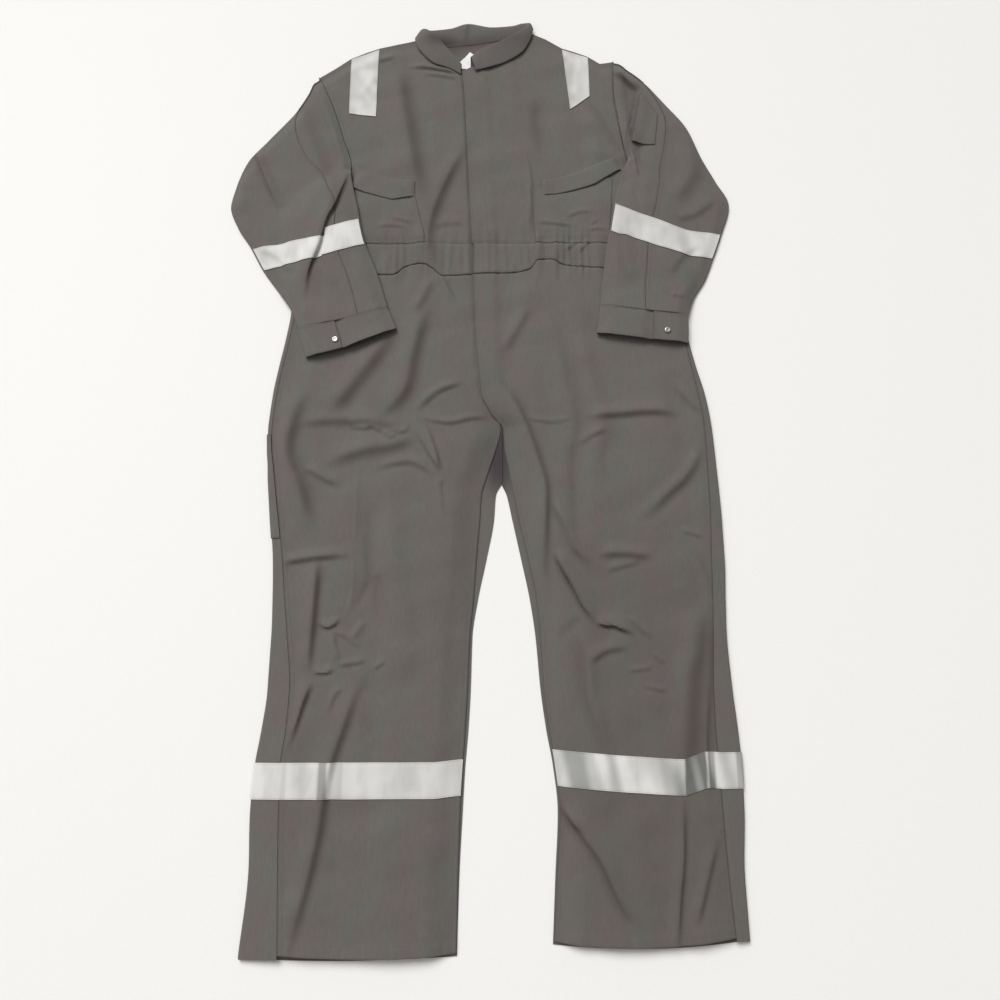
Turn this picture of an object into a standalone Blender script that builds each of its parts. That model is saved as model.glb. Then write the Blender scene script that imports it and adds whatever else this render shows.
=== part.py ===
"""Boiler suit laid flat on its back, front up, sleeves turned down over its sides.

Units are metres and +Z is up. The origin is the middle of the suit's plan, on the surface
that it lies on. +X is the wearer's left, +Y runs from the hems to the collar. Tables are in
millimetres, because that is how a cutter writes them.

The back panels lie flat. The front panels lie on them with a little air between, the sleeves are
flattened tubes that lie on both, and what is sewn on a panel follows that panel's surface.
"""

import math
from collections import namedtuple

import bmesh
import bpy
import numpy as np
from mathutils.bvhtree import BVHTree

MM = 0.001
WALL = 1.3 * MM  # the suit's cloth
TRIM = 1.1 * MM  # tape, label and zip, each with its stitching
GAP = 0.4 * MM  # air between two layers
SEAM = 0.3 * MM  # air between two pieces that a seam joins
TURN = 3.5 * MM  # radius of the fold at a leg's outer edge
SLEEVE_TURN = 2.7 * MM  # radius of the folds at a sleeve's edges
REACH = 0.2  # above everything, where a plumb line starts

WAIST_TOP = 327 * MM
WAIST_BACK = 272 * MM
FLY_UNDERLAP = 30 * MM

# ---- outlines ---------------------------------------------------------------------------------

Leg = namedtuple("Leg", "y outer outseam front_inner back_inner")
LEG_R = [
    Leg(272, -326, -319, 15, 4),
    Leg(200, -322, -315, 18, 8),
    Leg(150, -327, -320, 20, 14),
    Leg(100, -335, -328, 23, 20),
    Leg(50, -342, -335, 26, 27),
    Leg(10, -345, -338, 32, 34),
    Leg(-12, -346, -339, 34, 36),
    Leg(-50, -344, -336, 28, 37),
    Leg(-75, -341, -332, 17, 37),
    Leg(-100, -339, -328, 8, 36),
    Leg(-125, -336, -324, 5, 29),
    Leg(-166, -331, -317, 3, 26),
    Leg(-231, -323, -307, -2, 14),
    Leg(-294, -319, -299, -6, 1),
    Leg(-350, -317, -291, -11, -7),
    Leg(-431, -317, -282, -14, -9),
    Leg(-490, -322, -284, -17, -12),
    Leg(-540, -328, -289, -20, -16),
    Leg(-600, -330, -287, -23, -19),
    Leg(-690, -326, -282, -25, -23),
    Leg(-790, -332, -276, -26, -25),
]
LEG_L = [
    Leg(272, 352, 345, -12, 4),
    Leg(200, 352, 345, -9, 8),
    Leg(150, 355, 348, -7, 14),
    Leg(100, 364, 356, -2, 20),
    Leg(50, 376, 364, 3, 27),
    Leg(10, 382, 370, 22, 35),
    Leg(-12, 384, 371, 40, 37.6),
    Leg(-50, 386, 372, 43, 37.6),
    Leg(-75, 387, 372, 48, 37.6),
    Leg(-100, 388, 372, 52, 38),
    Leg(-125, 389, 372, 57, 46),
    Leg(-166, 390, 371, 65, 55),
    Leg(-231, 390, 368, 80, 69),
    Leg(-294, 387, 366, 92, 82),
    Leg(-350, 385, 363, 97, 90),
    Leg(-431, 388, 358, 101, 97),
    Leg(-490, 392, 357, 109, 105),
    Leg(-540, 394, 359, 117, 114),
    Leg(-600, 393, 360, 123, 120),
    Leg(-690, 387, 363, 117, 115),
    Leg(-780, 388, 368, 111, 110),
]

Hem = namedtuple("Hem", "inner middle outer")  # how far down the leg its edge lies
HEM_FRONT = {-1: Hem(-790, -795, -791), 1: Hem(-775, -781, -769)}
HEM_BACK = {-1: Hem(-794, -800, -797), 1: Hem(-779, -785, -774)}
TAPE_ROWS = {-1: (-586, -535), 1: (-574, -523)}

Point = namedtuple("Point", "x y")
WAIST_SEAM = [
    Point(-330, 274), Point(-200, 276), Point(-168, 270), Point(-150, 271), Point(-128, 288),
    Point(-102, 292), Point(-84, 282), Point(-66, 268), Point(-17, 271), Point(60, 274),
    Point(86, 280), Point(102, 297), Point(120, 298), Point(150, 286), Point(213, 282),
    Point(352, 278),
]  # fmt: skip

# The fly's edge, on the wearer's left front, which lies over the right one.
Fly = namedtuple("Fly", "y x")
FLY = [
    Fly(690, -36), Fly(630, -31), Fly(523, -25), Fly(419, -20), Fly(300, -14), Fly(222, -10),
    Fly(148, -7), Fly(75, -1), Fly(32, 10), Fly(8, 22),
]  # fmt: skip

ZIP_ROWS = (105, 670)
ZIP_FROM_FLY = (5, 22)

# The side seam runs up to the underarm; from the fold down, the rows are the armhole.
Side = namedtuple("Side", "y x")
SIDE_R = [
    Side(327, -330), Side(360, -330), Side(395, -318), Side(425, -290), Side(450, -252),
    Side(477, -231), Side(544, -250), Side(597, -267), Side(641, -285), Side(674, -300),
]  # fmt: skip
SIDE_L = [
    Side(327, 345), Side(360, 345), Side(400, 335), Side(435, 312), Side(465, 284),
    Side(497, 263), Side(572, 251), Side(645, 244), Side(710, 246),
]  # fmt: skip
FOLD_R = 477 * MM  # where the sleeve folds over the armhole
FOLD_L = 497 * MM

# Each top outline is the shoulder seam and the neckline, one grid column for each point.
TOP_FRONT_R = [
    Point(-300, 674), Point(-272, 694), Point(-243, 717), Point(-217, 730), Point(-190, 741),
    Point(-155, 750), Point(-121, 759), Point(-103, 742), Point(-78, 722), Point(-52, 704),
    Point(-36, 693), Point(-6, 687),
]  # fmt: skip
TOP_FRONT_L = [
    Point(-36, 683), Point(-19, 692), Point(0, 705), Point(30, 720), Point(60, 740),
    Point(80, 762), Point(92, 776), Point(121, 762), Point(152, 741), Point(177, 732),
    Point(200, 722), Point(222, 706), Point(246, 710),
]  # fmt: skip
TOP_BACK = [
    Point(-300, 674), Point(-243, 717), Point(-190, 741), Point(-121, 759), Point(-95, 747),
    Point(-62, 745), Point(-20, 750), Point(20, 757), Point(60, 765), Point(92, 776),
    Point(152, 741), Point(200, 722), Point(222, 706), Point(246, 710),
]  # fmt: skip

# Air between front and back, down the middle of the suit.
Loft = namedtuple("Loft", "y air")
LOFT = [
    Loft(-800, 9.5), Loft(-690, 9), Loft(-540, 7), Loft(-300, 8), Loft(0, 7), Loft(150, 6.5),
    Loft(272, 5), Loft(327, 5), Loft(420, 6), Loft(600, 5.5), Loft(700, 4.5), Loft(780, 3.5),
]  # fmt: skip

# ---- folds ------------------------------------------------------------------------------------

# A fold runs from one point to the other, bowed to the left of that way. Its height is signed,
# and lean makes its left side longer (positive) or shorter than its right side. COARSE widens all
# of them, because the panels' faces are about as wide as a fold.
COARSE = 1.5
Fold = namedtuple("Fold", "x0 y0 x1 y1 bow width height lean")
FRONT_FOLDS = [
    Fold(-157, 667, -101, 387, 8, 14, 3.5, 0.3),
    Fold(-24, 540, -99, 350, 10, 12, 4.5, -0.4),
    Fold(102, 640, 121, 480, 3, 14, 3.0, 0.2),
    Fold(190, 600, 214, 470, -8, 18, 3.5, 0.0),
    Fold(-97, 217, -170, 5, -12, 15, 5.0, 0.4),
    Fold(-160, 142, -242, 27, -6, 16, 4.5, -0.3),
    Fold(-292, 46, -258, -184, -22, 14, 6.0, 0.5),
    Fold(-300, -4, -110, -10, -8, 12, 4.0, 0.3),
    Fold(-245, -72, -111, -26, -6, 12, 4.0, 0.0),
    Fold(-178, -85, -58, -104, 18, 11, 4.0, 0.2),
    Fold(-107, -6, -61, -88, -6, 9, 4.0, 0.0),
    Fold(-100, 20, 0, 72, -8, 12, 3.5, 0.0),
    Fold(-173, -125, -147, -340, -8, 15, 4.5, -0.4),
    Fold(-248, -225, -252, -405, 4, 11, 6.5, 0.6),
    Fold(-252, -420, -282, -520, 4, 10, 6.0, 0.6),
    Fold(-196, -223, -203, -325, -4, 8, 3.0, 0.0),
    Fold(-220, -338, -206, -392, 4, 8, 3.5, 0.0),
    Fold(-216, -400, -141, -391, -4, 8, 3.0, 0.0),
    Fold(-166, -395, -259, -775, 12, 17, 5.0, 0.4),
    Fold(26, 62, 115, -294, -22, 13, 5.5, -0.4),
    Fold(136, 225, 161, -215, 14, 16, 4.5, 0.2),
    Fold(77, 3, 330, 15, 6, 11, 4.0, 0.3),
    Fold(362, -41, 262, -163, -8, 12, 3.5, 0.0),
    Fold(120, -138, 176, -240, 3, 9, 4.5, 0.0),
    Fold(133, -237, 240, -343, 14, 10, 6.0, 0.4),
    Fold(175, -386, 226, -366, -6, 9, 3.5, 0.0),
    Fold(190, -224, 272, -226, -8, 12, 4.0, 0.0),
    Fold(345, -290, 312, -520, -8, 10, 5.5, -0.5),
    Fold(166, -352, 196, -520, -6, 12, 4.0, 0.0),
    Fold(299, -585, 284, -782, 6, 11, 4.0, 0.0),
    Fold(122, -584, 232, -750, -12, 12, 4.5, 0.3),
]
SLEEVE_FOLDS = {
    -1: [
        Fold(-233, 470, -302, 215, 12, 9, 3.5, 0.7),
        Fold(-402, 512, -360, 405, -4, 12, 3.5, 0.0),
        Fold(-330, 600, -262, 410, 5, 12, 2.5, 0.0),
        Fold(-300, 275, -245, 240, 0, 10, 2.0, 0.0),
    ],
    1: [
        Fold(252, 700, 296, 655, 3, 8, 3.5, -0.5),
        Fold(295, 650, 264, 500, 3, 9, 3.5, -0.6),
        Fold(371, 546, 340, 412, -16, 16, 3.0, 0.0),
        Fold(254, 350, 259, 245, -4, 11, 2.5, 0.0),
    ],
}

# Gathers that the waist elastic draws up in its casing, in bunches.
Gathers = namedtuple("Gathers", "x0 x1 count height")
WAIST_GATHERS = [
    Gathers(-262, -206, 5, 1.5),
    Gathers(-152, -130, 2, 1.6),
    Gathers(-114, -88, 3, 1.6),
    Gathers(-62, -44, 1, 1.0),
    Gathers(8, 32, 2, 1.4),
    Gathers(96, 108, 1, 1.5),
    Gathers(128, 192, 6, 1.8),
    Gathers(246, 300, 5, 1.5),
]
STEPS_A_GATHER = 4

# ---- sleeves, collar and what is sewn on ------------------------------------------------------

# One row for each section of a sleeve, from the armhole to the cuff: its two folded edges, how
# far the middle sags towards the cuff, where the long seam lies (0 inner edge to 1 outer edge)
# and the air inside.
Sleeve = namedtuple("Sleeve", "outer_x outer_y inner_x inner_y sag seam air")
SLEEVE_R = [
    Sleeve(-300.6, 674, -231.6, 478, 0, 0.85, 3.0),
    Sleeve(-333, 608, -231.5, 473, 0, 0.80, 4.0),
    Sleeve(-384, 540, -230, 466, 0, 0.52, 4.5),
    Sleeve(-420, 491, -228, 453, 0, 0.35, 4.5),
    Sleeve(-436, 440, -224, 434, 0, 0.24, 4.5),
    Sleeve(-442, 402, -219, 413, 0, 0.19, 4.0),
    Sleeve(-425, 358, -214, 393, 0, 0.17, 4.0),
    Sleeve(-402, 323, -211, 377, 2, 0.17, 4.0),
    Sleeve(-377, 278, -200, 329, 2, 0.24, 4.0),
    Sleeve(-344, 232, -184, 288, 2, 0.28, 4.0),
    Sleeve(-322, 200, -170, 249, 3, 0.30, 4.5),
    Sleeve(-308, 170, -156, 211, 4, 0.33, 5.5),
]
SLEEVE_L = [
    Sleeve(246.6, 710, 262.6, 502, 0, 0.84, 3.0),
    Sleeve(296, 670, 265, 495, 0, 0.80, 4.0),
    Sleeve(342, 613, 262, 486, 0, 0.72, 4.5),
    Sleeve(376, 565, 257, 476, 0, 0.62, 4.5),
    Sleeve(400, 500, 252, 461, 0, 0.50, 4.5),
    Sleeve(422, 452, 246, 441, 0, 0.42, 4.0),
    Sleeve(442, 405, 241, 421, 6, 0.36, 4.0),
    Sleeve(425, 347, 237, 407, 15, 0.34, 4.0),
    Sleeve(408, 301, 228, 357, 14, 0.36, 4.0),
    Sleeve(390, 257, 219, 305, 8, 0.40, 4.0),
    Sleeve(368, 221, 212, 255, 3, 0.45, 4.5),
    Sleeve(356, 193, 206, 211, 2, 0.50, 5.5),
]
SLEEVE_TAPE_ROWS = (7, 8)
SLEEVE_HALF_ROWS = (0.5, 1.5, 2.5, 3.5, 4.5, 5.5, 6.5)

Cuff = namedtuple("Cuff", "outer_x outer_y inner_x inner_y sag")
CUFF = {
    -1: [Cuff(-308, 169.4, -156, 210.4, 4), Cuff(-301, 144, -148, 188, 5), Cuff(-293, 118, -140, 167, 6)],
    1: [Cuff(356, 192.4, 206, 210.4, 2), Cuff(355, 167, 203, 185, 3), Cuff(353, 142, 199, 159, 2)],
}
CUFF_AIR = 6.5
CUFF_EDGE = {-1: 0.59, 1: 0.60}  # where the lapped end stops, 0 inner edge to 1 outer edge
CUFF_LAP = 0.22
SNAP_AT = {-1: Point(-244, 148), 1: Point(320, 166)}
SNAP_RADIUS = 5.5 * MM
SNAP_RISE = 2.2 * MM

# Sections round the neck, from the right front round the back to the left front. n is the neck
# seam, r the roll and l the leaf's edge; facing is 90 where the leaf lies over the stand and
# -90 where it lies under it.
Collar = namedtuple("Collar", "nx ny nz rx ry rz lx ly lz facing")
COLLAR = [
    Collar(-36, 693, 6.2, -37, 704, 13.0, -37, 689, 10.5, 90),
    Collar(-52, 704, 6.2, -54, 723, 17.0, -58, 702, 11.5, 90),
    Collar(-78, 722, 6.0, -72, 743, 18.5, -87, 713, 11.0, 88),
    Collar(-103, 742, 5.4, -92, 767, 17.5, -109, 731, 10.5, 78),
    Collar(-115, 753.3, 4.6, -104, 781, 13.5, -122, 749, 9.0, 52),
    Collar(-121, 759, 3.7, -111, 787, 8.0, -126, 767, 5.5, 0),
    Collar(-112, 754.8, 1.6, -104, 789, 4.2, -118, 777, 2.2, -60),
    Collar(-95, 747, 0.8, -88, 790, 3.0, -97, 771, 0.8, -88),
    Collar(-62, 745, 0.8, -58, 792, 3.0, -62, 767, 0.7, -90),
    Collar(-20, 750, 0.8, -24, 798.3, 3.0, -22, 771, 0.7, -90),
    Collar(20, 757, 0.8, 20, 790, 3.0, 20, 770, 0.7, -90),
    Collar(60, 765, 0.8, 58, 793, 3.0, 60, 776, 0.7, -90),
    Collar(80, 771.9, 1.2, 78, 799, 3.8, 86, 783, 1.4, -75),
    Collar(92, 776, 4.6, 90, 797, 8.6, 99, 784, 6.0, 0),
    Collar(80, 762, 5.4, 80, 781, 14.0, 94, 764, 9.5, 60),
    Collar(60, 740, 5.9, 58, 761, 17.5, 81, 737, 10.5, 85),
    Collar(30, 720, 6.0, 34, 745, 18.5, 48, 714, 11.0, 90),
    Collar(0, 705, 7.4, 4, 731, 18.0, 14, 698, 14.0, 90),
    Collar(-19, 692, 8.8, -18, 713, 16.0, -7, 691, 14.5, 90),
]
COLLAR_HALF_ROWS = (1.5, 2.5, 3.5, 4.5, 5.5, 11.5, 12.5, 13.5, 14.5, 15.5)
COLLAR_PARTING = 2.0 * MM  # half the distance between stand and leaf
COLLAR_WALL = 1.5 * MM

# A patch has a lower and an upper edge, each a short line of points from its left to its right.
Patch = namedtuple("Patch", "lower upper rows cols")
PATCHES = {
    "chest_pocket_r": Patch(
        [Point(-218, 334), Point(-150, 334), Point(-95, 334)],
        [Point(-224, 446), Point(-160, 440), Point(-119, 436)],
        6,
        7,
    ),
    "pocket_flap_r": Patch(
        [Point(-228, 443), Point(-206, 433), Point(-155, 419), Point(-134, 422), Point(-116, 423)],
        [Point(-226, 484), Point(-200, 472), Point(-155, 456), Point(-134, 452), Point(-116, 451)],
        2,
        8,
    ),
    "chest_pocket_l": Patch(
        [Point(97, 334), Point(160, 334), Point(226, 334)],
        [Point(90, 440), Point(150, 446), Point(236, 458)],
        6,
        7,
    ),
    "pocket_flap_l": Patch(
        [Point(109, 424), Point(136, 426), Point(170, 435), Point(205, 446), Point(252, 477)],
        [Point(110, 454), Point(136, 457), Point(170, 470), Point(203, 484), Point(240, 500)],
        2,
        8,
    ),
    "shoulder_tape_r": Patch(
        [Point(-241, 599), Point(-191, 593)], [Point(-242, 715), Point(-191, 737)], 6, 2
    ),
    "shoulder_tape_l": Patch(
        [Point(166, 610), Point(199, 640)], [Point(152, 737), Point(200, 719)], 6, 2
    ),
    "pen_pocket": Patch(
        [Point(273, 540), Point(318, 540)], [Point(296, 640), Point(325, 592)], 5, 3
    ),
    "neck_label": Patch(
        [Point(-44, 712), Point(-20, 692)], [Point(-24, 740), Point(0, 721)], 2, 2
    ),
}

RULE_POCKET_ROWS = (-197, -24)

MARKS = {-1: "r", 1: "l"}  # the wearer's right is at -X
LEGS = {-1: LEG_R, 1: LEG_L}
SLEEVES = {-1: SLEEVE_R, 1: SLEEVE_L}

CLOTH = ("cloth", (0.150, 0.141, 0.131, 1), 0.85, 0.0)
TAPE = ("silver_tape", (0.64, 0.63, 0.61, 1), 0.45, 0.55)
LABEL = ("label_satin", (0.80, 0.80, 0.79, 1), 0.60, 0.0)
METAL = ("snap_metal", (0.60, 0.59, 0.57, 1), 0.30, 1.0)
ZIP = ("zip_tape", (0.11, 0.105, 0.10, 1), 0.80, 0.0)


# ---- tools ------------------------------------------------------------------------------------


def smooth(table, key, value, at):
    """The named column of a table at the given keys, on a cubic that doesn't overshoot its rows."""
    rows = sorted(table, key=lambda row: getattr(row, key))
    x = np.array([getattr(row, key) for row in rows], float) * MM
    y = np.array([getattr(row, value) for row in rows], float) * MM
    step = np.diff(x)
    slope = np.diff(y) / step
    tangent = np.concatenate([slope[:1], np.zeros(len(x) - 2), slope[-1:]])
    same_way = slope[:-1] * slope[1:] > 0
    both = slope[:-1] + slope[1:]
    tangent[1:-1][same_way] = 2 * (slope[:-1] * slope[1:])[same_way] / both[same_way]
    at = np.clip(at, x[0], x[-1])
    k = np.clip(np.searchsorted(x, at) - 1, 0, len(step) - 1)
    t = (at - x[k]) / step[k]
    rise = (2 * t**3 - 3 * t**2 + 1) * y[k] + (3 * t**2 - 2 * t**3) * y[k + 1]
    return rise + step[k] * ((t**3 - 2 * t**2 + t) * tangent[k] + (t**3 - t**2) * tangent[k + 1])


def column(table, name):
    return np.array([getattr(row, name) for row in table], float)


def along_rows(table, name, at):
    """The named column at fractional row numbers, as smooth() reads it."""
    Row = namedtuple("Row", "number value")
    rows = [Row(k / MM, value) for k, value in enumerate(column(table, name))]
    return smooth(rows, "number", "value", at) / MM


def ease(value):
    """0 below 0, 1 above 1, and a soft step between."""
    t = np.clip(value, 0, 1)
    return t * t * (3 - 2 * t)


def fold_heights(folds, x, y):
    """The sum of the folds' heights at x, y."""
    total = np.zeros(np.shape(x))
    for fold in folds:
        start = np.array([fold.x0, fold.y0]) * MM
        way = np.array([fold.x1, fold.y1]) * MM - start
        length = math.hypot(*way)
        along = ((x - start[0]) * way[0] + (y - start[1]) * way[1]) / length**2
        across = ((y - start[1]) * way[0] - (x - start[0]) * way[1]) / length
        held = np.clip(along, 0, 1)
        across = across - 4 * fold.bow * MM * held * (1 - held)
        spread = COARSE * fold.width * MM * (1 + fold.lean * np.sign(across))
        ends = ease(along / 0.2 + 0.3) * ease((1 - along) / 0.2 + 0.3)
        total += fold.height * MM * ends * np.exp(-((across / spread) ** 2))
    return total


def mix(a, b, t):
    return a + (b - a) * t


def grid_of(x, y, z):
    return np.stack(np.broadcast_arrays(x, y, z), axis=-1).astype(float)


# ---- meshes -----------------------------------------------------------------------------------


def sheet_mesh(points):
    """A bmesh grid whose vertices take the places in points, rows by columns. Every quad is cut
    along the same diagonal, so that a layer made from another's points stays parallel to it."""
    rows, cols = points.shape[:2]
    bm = bmesh.new()
    bmesh.ops.create_grid(bm, x_segments=cols - 1, y_segments=rows - 1, size=1)
    for vert in bm.verts:
        row = round((vert.co.y + 1) / 2 * (rows - 1))
        col = round((vert.co.x + 1) / 2 * (cols - 1))
        vert.co = points[row, col]
    bmesh.ops.triangulate(bm, faces=bm.faces[:], quad_method="FIXED")
    return bm


def add_object(name, bm, finish):
    mesh = bpy.data.meshes.new(name)
    bm.to_mesh(mesh)
    bm.free()
    mesh.shade_smooth()
    mesh.set_sharp_from_angle(angle=math.radians(50))
    mesh.materials.append(MATERIALS[finish[0]])
    obj = bpy.data.objects.new(name, mesh)
    SUIT.objects.link(obj)
    return obj


def flat_cloth(name, points, finish=CLOTH, wall=WALL):
    """A panel whose underside is points: the sheet is raised straight up by its wall, so that
    its edges stay plumb and clear of the next panel's."""
    bm = sheet_mesh(points)
    raised = bmesh.ops.extrude_face_region(bm, geom=bm.faces[:], use_keep_orig=True)
    for item in raised["geom"]:
        if isinstance(item, bmesh.types.BMVert):
            item.co.z += wall
    bmesh.ops.recalc_face_normals(bm, faces=bm.faces[:])
    return add_object(name, bm, finish)


def turned_cloth(name, points, finish=CLOTH, wall=WALL, offset=-1):
    """A panel that turns under itself: points are its outer face (offset -1), its inner face
    (offset 1) or its middle (0)."""
    obj = add_object(name, sheet_mesh(points), finish)
    shell = obj.modifiers.new("wall", "SOLIDIFY")
    shell.thickness = wall
    shell.offset = offset
    return obj


def plumb_lines(objects):
    """For each object, the tree that a plumb line is dropped on."""
    bpy.context.view_layer.update()
    graph = bpy.context.evaluated_depsgraph_get()
    return [BVHTree.FromObject(obj, graph) for obj in objects]


def top_at(trees, x, y):
    """The height of the topmost surface at x, y, or the floor."""
    top = 0.0
    for tree in trees:
        hit = tree.ray_cast((x, y, REACH), (0, 0, -1))[0]
        if hit is not None:
            top = max(top, hit.z)
    return top


def lowest_in_quads(z, s, t):
    """The lower of each quad's two possible foldings into triangles, at s and t across it."""
    a, b, c, d = (z[:-1, :-1], z[:-1, 1:], z[1:, :-1], z[1:, 1:])
    a, b, c, d = (corner[:, :, None, None] for corner in (a, b, c, d))
    lower_right = a + s * (b - a) + t * (d - b)
    upper_left = a + t * (c - a) + s * (d - c)
    one = np.where(s >= t, lower_right, upper_left)
    lower_left = a + s * (b - a) + t * (c - a)
    upper_right = d + (1 - s) * (c - d) + (1 - t) * (b - d)
    two = np.where(s + t <= 1, lower_left, upper_right)
    return np.minimum(one, two)


def spread_to_corners(values, corners):
    """The largest of the values that the quads round each vertex give to that corner."""
    for row, col, part in ((0, 0, 0), (0, 1, 1), (1, 0, 2), (1, 1, 3)):
        rows = slice(row, row + values[part].shape[0])
        cols = slice(col, col + values[part].shape[1])
        np.maximum(corners[rows, cols], values[part], out=corners[rows, cols])
    return corners


def lifts(points, below, gap=GAP, samples=9):
    """How far each vertex of an underside must rise so that every face clears what lies below.
    The first passes raise a corner no higher than the highest spot under its quads."""
    trees = plumb_lines(below)
    t, s = np.meshgrid(np.linspace(0, 1, samples), np.linspace(0, 1, samples), indexing="ij")
    rows, cols = points.shape[:2]
    needed = np.full((rows - 1, cols - 1, samples, samples), -1.0)
    for row, col in np.ndindex(rows - 1, cols - 1):
        quad = points[row : row + 2, col : col + 2, :2]
        for m, n in np.ndindex(samples, samples):
            x, y = mix(mix(quad[0, 0], quad[0, 1], s[m, n]), mix(quad[1, 0], quad[1, 1], s[m, n]), t[m, n])
            top = top_at(trees, x, y)
            if top > 0:
                needed[row, col, m, n] = top + gap
    highest = needed.max(axis=(2, 3))
    z = points[:, :, 2].copy()
    for final in (False, False, False, True):
        short = (needed - lowest_in_quads(z, s, t)).max(axis=(2, 3))
        corners = [z[:-1, :-1], z[:-1, 1:], z[1:, :-1], z[1:, 1:]]
        rise = [short if final else np.minimum(short, highest - corner) for corner in corners]
        z = z + spread_to_corners(rise, np.zeros(z.shape))
    return z - points[:, :, 2]


def lay(points, below, gap=GAP):
    """The underside raised clear of what lies below."""
    raised = points.copy()
    raised[:, :, 2] += lifts(points, below, gap)
    return raised


def follow(points, below, gap=GAP):
    """The underside of a piece that lies on what is below: on its surface, moved out. Plumb
    lines beside each point keep it from dropping into a seam."""
    trees = plumb_lines(below)
    beside = 2 * MM
    placed = points.copy()
    for spot in placed.reshape(-1, 3):
        x, y = spot[:2]
        near = [(x, y), (x - beside, y), (x + beside, y), (x, y - beside), (x, y + beside)]
        spot[2] = max(top_at(trees, *place) for place in near) + gap
    return lay(placed, below, gap)


def moved_out(points, distance):
    """A surface's points moved along its outward normals."""
    across = np.gradient(points, axis=1)
    along = np.gradient(points, axis=0)
    normal = np.cross(across, along)
    normal /= np.linalg.norm(normal, axis=2, keepdims=True)
    return points + normal * distance


# ---- legs -------------------------------------------------------------------------------------


def leg_rows(side):
    """Where a leg's sections lie, hem to waist, and which of them bound the tape."""
    low, high = np.array(TAPE_ROWS[side]) * MM
    hem = HEM_FRONT[side].middle * MM
    below = np.linspace(hem, low, 7)
    above = np.linspace(high, WAIST_BACK, 23)
    rows = np.concatenate([below, [(low + high) / 2], above])
    return rows, slice(len(below) - 1, len(below) + 2)


def hem_line(hem, share):
    """The hem's edge from the inner leg (0) to the outer leg (1)."""
    lean = mix(hem.inner, hem.outer, share)
    sag = (hem.middle - (hem.inner + hem.outer) / 2) * 4 * share * (1 - share)
    return (lean + sag) * MM


def side_rise(y):
    """The height of the outer edge's fold, lower towards the waist."""
    return 2 * TURN - 3 * MM * ease((y - 0.12) / 0.15)


def seam_rise(y, strip):
    """The height of the outseam, which rises with the strip of back that shows beside it."""
    return side_rise(y) + np.minimum(0.12 * strip, 4 * MM)


def front_leg_grid(side):
    """The underside of a front leg, hem to waist by left to right, and its rows of tape."""
    table = LEGS[side]
    rows, tape = leg_rows(side)
    share = np.linspace(0, 1, 14)[None, :]  # inseam to outseam
    if side < 0:
        share = share[:, ::-1]
    y = np.repeat(rows[:, None], share.size, axis=1)
    y[0] = hem_line(HEM_FRONT[side], share[0])
    inner = smooth(table, "y", "front_inner", y)
    seam = smooth(table, "y", "outseam", y)
    outer = smooth(table, "y", "outer", y)
    x = mix(inner, seam - side * SEAM, share)
    y[-1] = smooth(WAIST_SEAM, "x", "y", x[-1]) - SEAM

    base = WALL + GAP
    parted = ease((0.03 - y) / 0.05)
    from_inner = np.abs(x - inner)
    loft = smooth(LOFT, "y", "air", y) * mix(1, ease(from_inner / 0.045), parted)
    folds = fold_heights(FRONT_FOLDS, x, y) * ease(from_inner / 0.03 + (1 - parted))
    edge = seam_rise(y, np.abs(outer - seam)) - WALL
    z = mix(edge, base + loft + folds, ease(np.abs(x - seam) / 0.05))
    return grid_of(x, y, np.maximum(z, base)), tape


def back_leg_grid(side, rows):
    """The outer face of a back leg: flat on the floor, round its outer edge and up to the outseam.
    Its lower end is the hem and its upper end the waist."""
    table = LEGS[side]
    flat = np.linspace(0, 1, 3)[None, :-1]
    angle = np.radians(np.linspace(-90, 90, 5))[None, :]
    strip = np.linspace(0, 1, 3)[None, 1:]
    flat_cols, turned_cols = flat.shape[1], angle.size
    y = np.repeat(rows[:, None], flat_cols + turned_cols + strip.shape[1], axis=1)
    y[0] = hem_line(HEM_BACK[side], np.minimum(np.arange(y.shape[1]) / flat_cols, 1))
    y[-1] = WAIST_BACK - SEAM
    inner = smooth(table, "y", "back_inner", y) + side * SEAM / 2
    centre = smooth(table, "y", "outer", y) - side * TURN
    seam = smooth(table, "y", "outseam", y) + side * SEAM
    rise = side_rise(y)
    first, last = slice(0, flat_cols), slice(flat_cols + turned_cols, None)
    turn = slice(flat_cols, flat_cols + turned_cols)
    x, z = np.zeros(y.shape), np.zeros(y.shape)
    x[:, first] = mix(inner[:, first], centre[:, first], flat)
    x[:, turn] = centre[:, turn] + side * TURN * np.cos(angle)
    z[:, turn] = rise[:, turn] / 2 * (1 + np.sin(angle))
    x[:, last] = mix(centre[:, last], seam[:, last], strip)
    width = np.abs(centre + side * TURN - seam)
    z[:, last] = mix(rise[:, last], seam_rise(y, width)[:, last], strip)
    grid = grid_of(x, y, z)
    return grid if side < 0 else grid[:, ::-1]


def outer_turn(back):
    """The part of a back leg that shows from above: from the middle of its turn to the outseam."""
    shown = back[0, :, 2] > 1.5 * MM
    return back[:, shown]


def stretch_of(grid, rows, ends):
    """The stretch of a grid between two ends that lie on its faces, between its rows."""
    low, high = np.array(ends) * MM
    at = np.concatenate([[low], rows[(rows > low) & (rows < high)], [high]])
    flat = grid.reshape(len(rows), -1)
    lines = [np.interp(at, rows, flat[:, k]) for k in range(flat.shape[1])]
    return np.stack(lines, axis=1).reshape(len(at), -1, 3)


def leg_top_face(side, front, back):
    """A leg's whole upper face, columns from left to right."""
    top = front.copy()
    top[:, :, 2] += WALL
    turn = outer_turn(back)
    return np.concatenate([turn, top] if side < 0 else [top, turn], axis=1)


# ---- waist and bodice -------------------------------------------------------------------------


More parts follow.
